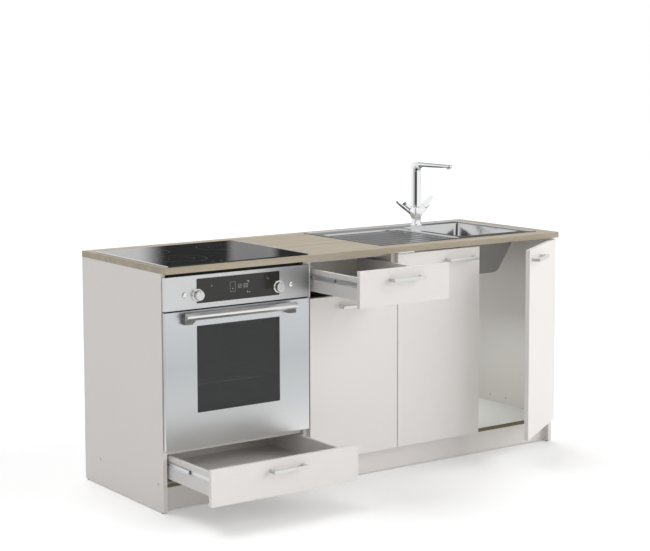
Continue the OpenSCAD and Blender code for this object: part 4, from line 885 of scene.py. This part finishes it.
# A black strip fills the gap between the control panel and the door: painted shade of the gap
gap_shade_black = finish("gap_shade_black", (0.012, 0.012, 0.012), 0.7, contrast=0)
panel_low, panel_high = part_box("oven_control_panel")
door_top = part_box("oven_door_panel")[1][2]
shade_end, shade_gap, shade_in_panel, shade_back, shade_depth = 0.004, 0.0008, 0.0006, 0.0015, 0.0105
outline = rectangle(panel_low[0] + shade_end, panel_high[0] - shade_end,
                    door_top + shade_gap, panel_low[2] + shade_in_panel)
gap_shade_strip = front_plate(outline, panel_low[1] + shade_back, panel_low[1] + shade_back + shade_depth)
piece("panel_gap_shade", *gap_shade_strip, "carcass", gap_shade_black, "black_glass")

# Inside of the oven: enamelled cooking space and inner door frame, heating elements, bright wire rack.
# The window is tinted glass in front and clear glass behind. All are the construction's solids.
enamel = finish("enamel", (0.035, 0.037, 0.04), 0.25, contrast=0.1, scale=200.0)
dress(["oven_cavity", "oven_door_frame"], enamel)
element_steel = finish("element_steel", (0.12, 0.11, 0.10), 0.5, 1.0)
dress(["oven_elements"], element_steel)
dress(["oven_rack"], chrome)
tinted_glass = finish("tinted_glass", (0.20, 0.22, 0.22), 0.03, contrast=0, Transmission_Weight=0.97,
                      IOR=1.45)
dress(["oven_door_glass"], tinted_glass, 0.0006)
clear_glass = finish("clear_glass", (0.85, 0.88, 0.87), 0.02, contrast=0, Transmission_Weight=1.0,
                     IOR=1.45)
dress(["oven_door_inner_glass"], clear_glass, 0.0006)

# Oven display: a black glass plate with round corners on the control panel.
# On it glow a clock, a small framed dot and a few marks, as flat bars.
display_low, display_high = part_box("oven_display")
display_glass = finish("display_glass", (0.016, 0.016, 0.012), 0.10, contrast=0)
plate_r = 0.004
plate = rounded_outline(display_low[0], display_high[0], display_low[2], display_high[2], plate_r, 6)
display = piece("display_plate", *front_plate(plate, display_low[1], display_high[1] - 0.00005), "carcass",
                display_glass, "black_glass", edge=0.0003)
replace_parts(display, "oven_display")
pale_light = lit("pale_light", (0.82, 0.85, 0.84), 0.40)
mark_y = display_low[1] - 0.00006


def upright_bar(x0, x1, z0, z1):
    """One flat rectangle facing the room."""
    return [(x, mark_y, z) for x, z in rectangle(x0, x1, z0, z1)], [(0, 1, 2, 3)]


def at(u, v):
    """A place on the display, as shares of its width and height."""
    return (display_low[0] + u * (display_high[0] - display_low[0]),
            display_low[2] + v * (display_high[2] - display_low[2]))


fx, fz = at(0.395, 0.34)
frame_w, frame_h, line_w = 0.022, 0.034, 0.0009
marks = [(fx, fx + frame_w, fz, fz + line_w), (fx, fx + frame_w, fz + frame_h - line_w, fz + frame_h),
         (fx, fx + line_w, fz, fz + frame_h), (fx + frame_w - line_w, fx + frame_w, fz, fz + frame_h),
         (fx + 0.009, fx + 0.013, fz + 0.008, fz + 0.012)]
clock_h = 0.014
marks += figure("12:30", *at(0.475, 0.46), clock_h)
for u, v, w, h in ((0.60, 0.70, 0.008, 0.003), (0.615, 0.66, 0.004, 0.003), (0.60, 0.24, 0.003, 0.006),
                   (0.62, 0.24, 0.006, 0.003), (0.17, 0.66, 0.006, 0.0015), (0.17, 0.63, 0.003, 0.004),
                   (0.84, 0.74, 0.005, 0.0015), (0.855, 0.70, 0.002, 0.004)):
    x, z = at(u, v)
    marks.append((x, x + w, z, z + h))
parts = [upright_bar(*bar) for bar in marks]
piece("display_marks", *joined_parts(parts), "carcass", pale_light, "black_glass")


# Oven knobs and buttons: turned parts in satin silver. A knob is a cap with a dark pointer on a wider
# bright skirt; a button is a small bright dome.
def on_panel(node):
    """(half a turned part's width, its reach out of the panel, a matrix there whose Z points to the room)."""
    low, high = (Vector(corner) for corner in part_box(node))
    middle = Matrix.Translation(((low.x + high.x) / 2, panel_low[1], (low.z + high.z) / 2))
    to_room = Matrix(((1, 0, 0, 0), (0, 0, -1, 0), (0, 1, 0, 0), (0, 0, 0, 1)))
    return (high.x - low.x) / 2, panel_low[1] - low.y, middle @ to_room


knob_satin = finish("knob_satin", (0.66, 0.66, 0.655), 0.36, 1.0, scale=600.0, contrast=0.04)
knob_bright = finish("knob_bright", (0.80, 0.80, 0.80), 0.18, 1.0, contrast=0)
for name in ("oven_knob_left", "oven_knob_right"):
    skirt_r, reach, knob_at = on_panel(name)
    cap_r = skirt_r - 0.003
    skirt = [(0, 0.0003), (skirt_r, 0.0003), (skirt_r, 0.002), (skirt_r - 0.0008, 0.003),
             (cap_r + 0.0004, 0.0034), (cap_r + 0.0004, 0.0052), (cap_r - 0.001, 0.0056), (0, 0.0056)]
    knob = piece(name + "_skirt", *lathe(skirt, knob_at), name, knob_bright, "satin_knobs", smooth=True)
    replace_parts(knob, name)
    cap = [(0, 0.005), (cap_r - 0.0006, 0.005), (cap_r - 0.0010, reach - 0.0022),
           (cap_r - 0.0018, reach - 0.0008), (cap_r - 0.0030, reach), (0.010, reach - 0.0003),
           (0, reach - 0.0005)]
    piece(name + "_cap", *lathe(cap, knob_at), name, knob_satin, "satin_knobs", smooth=True)
    pointer = prism(rectangle(-0.0007, 0.0007, cap_r - 0.0085, cap_r - 0.0035), reach - 0.0006,
                    reach + 0.0002, knob_at.translation, X_WAY, Z_WAY, -Y_WAY)
    piece(name + "_pointer", *pointer, name, black_plastic, "satin_knobs")
for name in ("oven_button_left", "oven_button_right"):
    r, reach, button_at = on_panel(name)
    curve = np.linspace(0.15, math.pi / 2 - 0.02, 9)
    dome = [(0, -0.006), (r, -0.006), (r, 0.0020),
            *((r * math.cos(t), 0.0020 + 0.0040 * math.sin(t)) for t in curve), (0, 0.006)]
    button = piece(name + "_dome", *lathe(dome, button_at), name, knob_bright, "satin_knobs", smooth=True)
    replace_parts(button, name)

# Oven door handle: a satin bar that narrows to a round nose, on two dark feet that widen towards it.
# The bar is its section carried along the run, and each foot is its front outline carried out of the door.
grip_low, grip_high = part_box("oven_door_handle")
door_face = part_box("oven_door_panel")[0][1]
grip_h, grip_back, back_t, nose_r = 0.026, 0.019, 0.003, 0.005
nose_out = door_face - grip_low[1] - nose_r
nose_v = grip_h / 2 + 0.0005
lean = math.degrees(math.atan2(grip_h - nose_v - nose_r, nose_out - grip_back - back_t))
profile = [(grip_back, grip_h), (grip_back, 0), (grip_back + back_t, 0),
           *arc((nose_out, nose_v), nose_r, -90 + lean, 90 - lean, 12), (grip_back + back_t, grip_h)]
grip_corner = (0, door_face, grip_high[2] - grip_h)
bar_steel = finish("bar_steel", (0.84, 0.835, 0.82), 0.34, 1.0, (0.02, 1, 1), 700.0, 0.05)
grip = piece("oven_handle_bar", *prism(profile, grip_low[0], grip_high[0], grip_corner, -Y_WAY, Z_WAY, X_WAY),
             "oven_door", bar_steel, "satin_handles", smooth=True, edge=0.0006)
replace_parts(grip, "oven_door_handle")
foot_grey = finish("foot_grey", (0.15, 0.15, 0.147), 0.5)
foot_top_w, foot_low_w, foot_h, foot_in_bar = 0.057, 0.030, 0.025, 0.001
for name, end, side in (("left", grip_low[0], 1), ("right", grip_high[0], -1)):
    outline = [(end, grip_low[2]), (end + side * foot_low_w, grip_low[2]),
               (end + side * foot_top_w, grip_low[2] + foot_h), (end, grip_low[2] + foot_h)]
    piece("oven_handle_foot_" + name, *front_plate(outline, door_face - grip_back - foot_in_bar, door_face),
          "oven_door", foot_grey, "satin_handles", edge=0.0012)

# Small fittings: two grey plastic screw caps on the left end panel, as low turned discs, and two bored
# holes in the right one's inner face, as flat discs dark with painted shade.
cap_grey = finish("cap_grey", (0.62, 0.60, 0.58), 0.5, contrast=0)
hole_shade = finish("hole_shade", (0.05, 0.05, 0.045), 0.8, contrast=0)
to_left = Matrix(((0, 0, -1, 0), (0, 1, 0, 0), (1, 0, 0, 0), (0, 0, 0, 1)))
screw_cap = [(0.0062, 0), (0.0060, 0.0008), (0.0045, 0.0014), (0, 0.0016)]
cap_z, bore_z = 0.098, 0.133
for i, y in enumerate((-0.118, -0.536)):
    cap_at = Matrix.Translation((0, y, cap_z)) @ to_left
    piece(f"screw_cap_{i}", *lathe(screw_cap, cap_at, 24), "carcass", cap_grey, "carcass_board", smooth=True)
bore = [(0.0025, 0.00005), (0, 0.00006)]
for i, y in enumerate((-0.221, -0.316)):
    hole_at = Matrix.Translation((cad_bounds[1][0] - board_t, y, bore_z)) @ to_left
    piece(f"bored_hole_{i}", *lathe(bore, hole_at, 20), "carcass", hole_shade, "carcass_board")
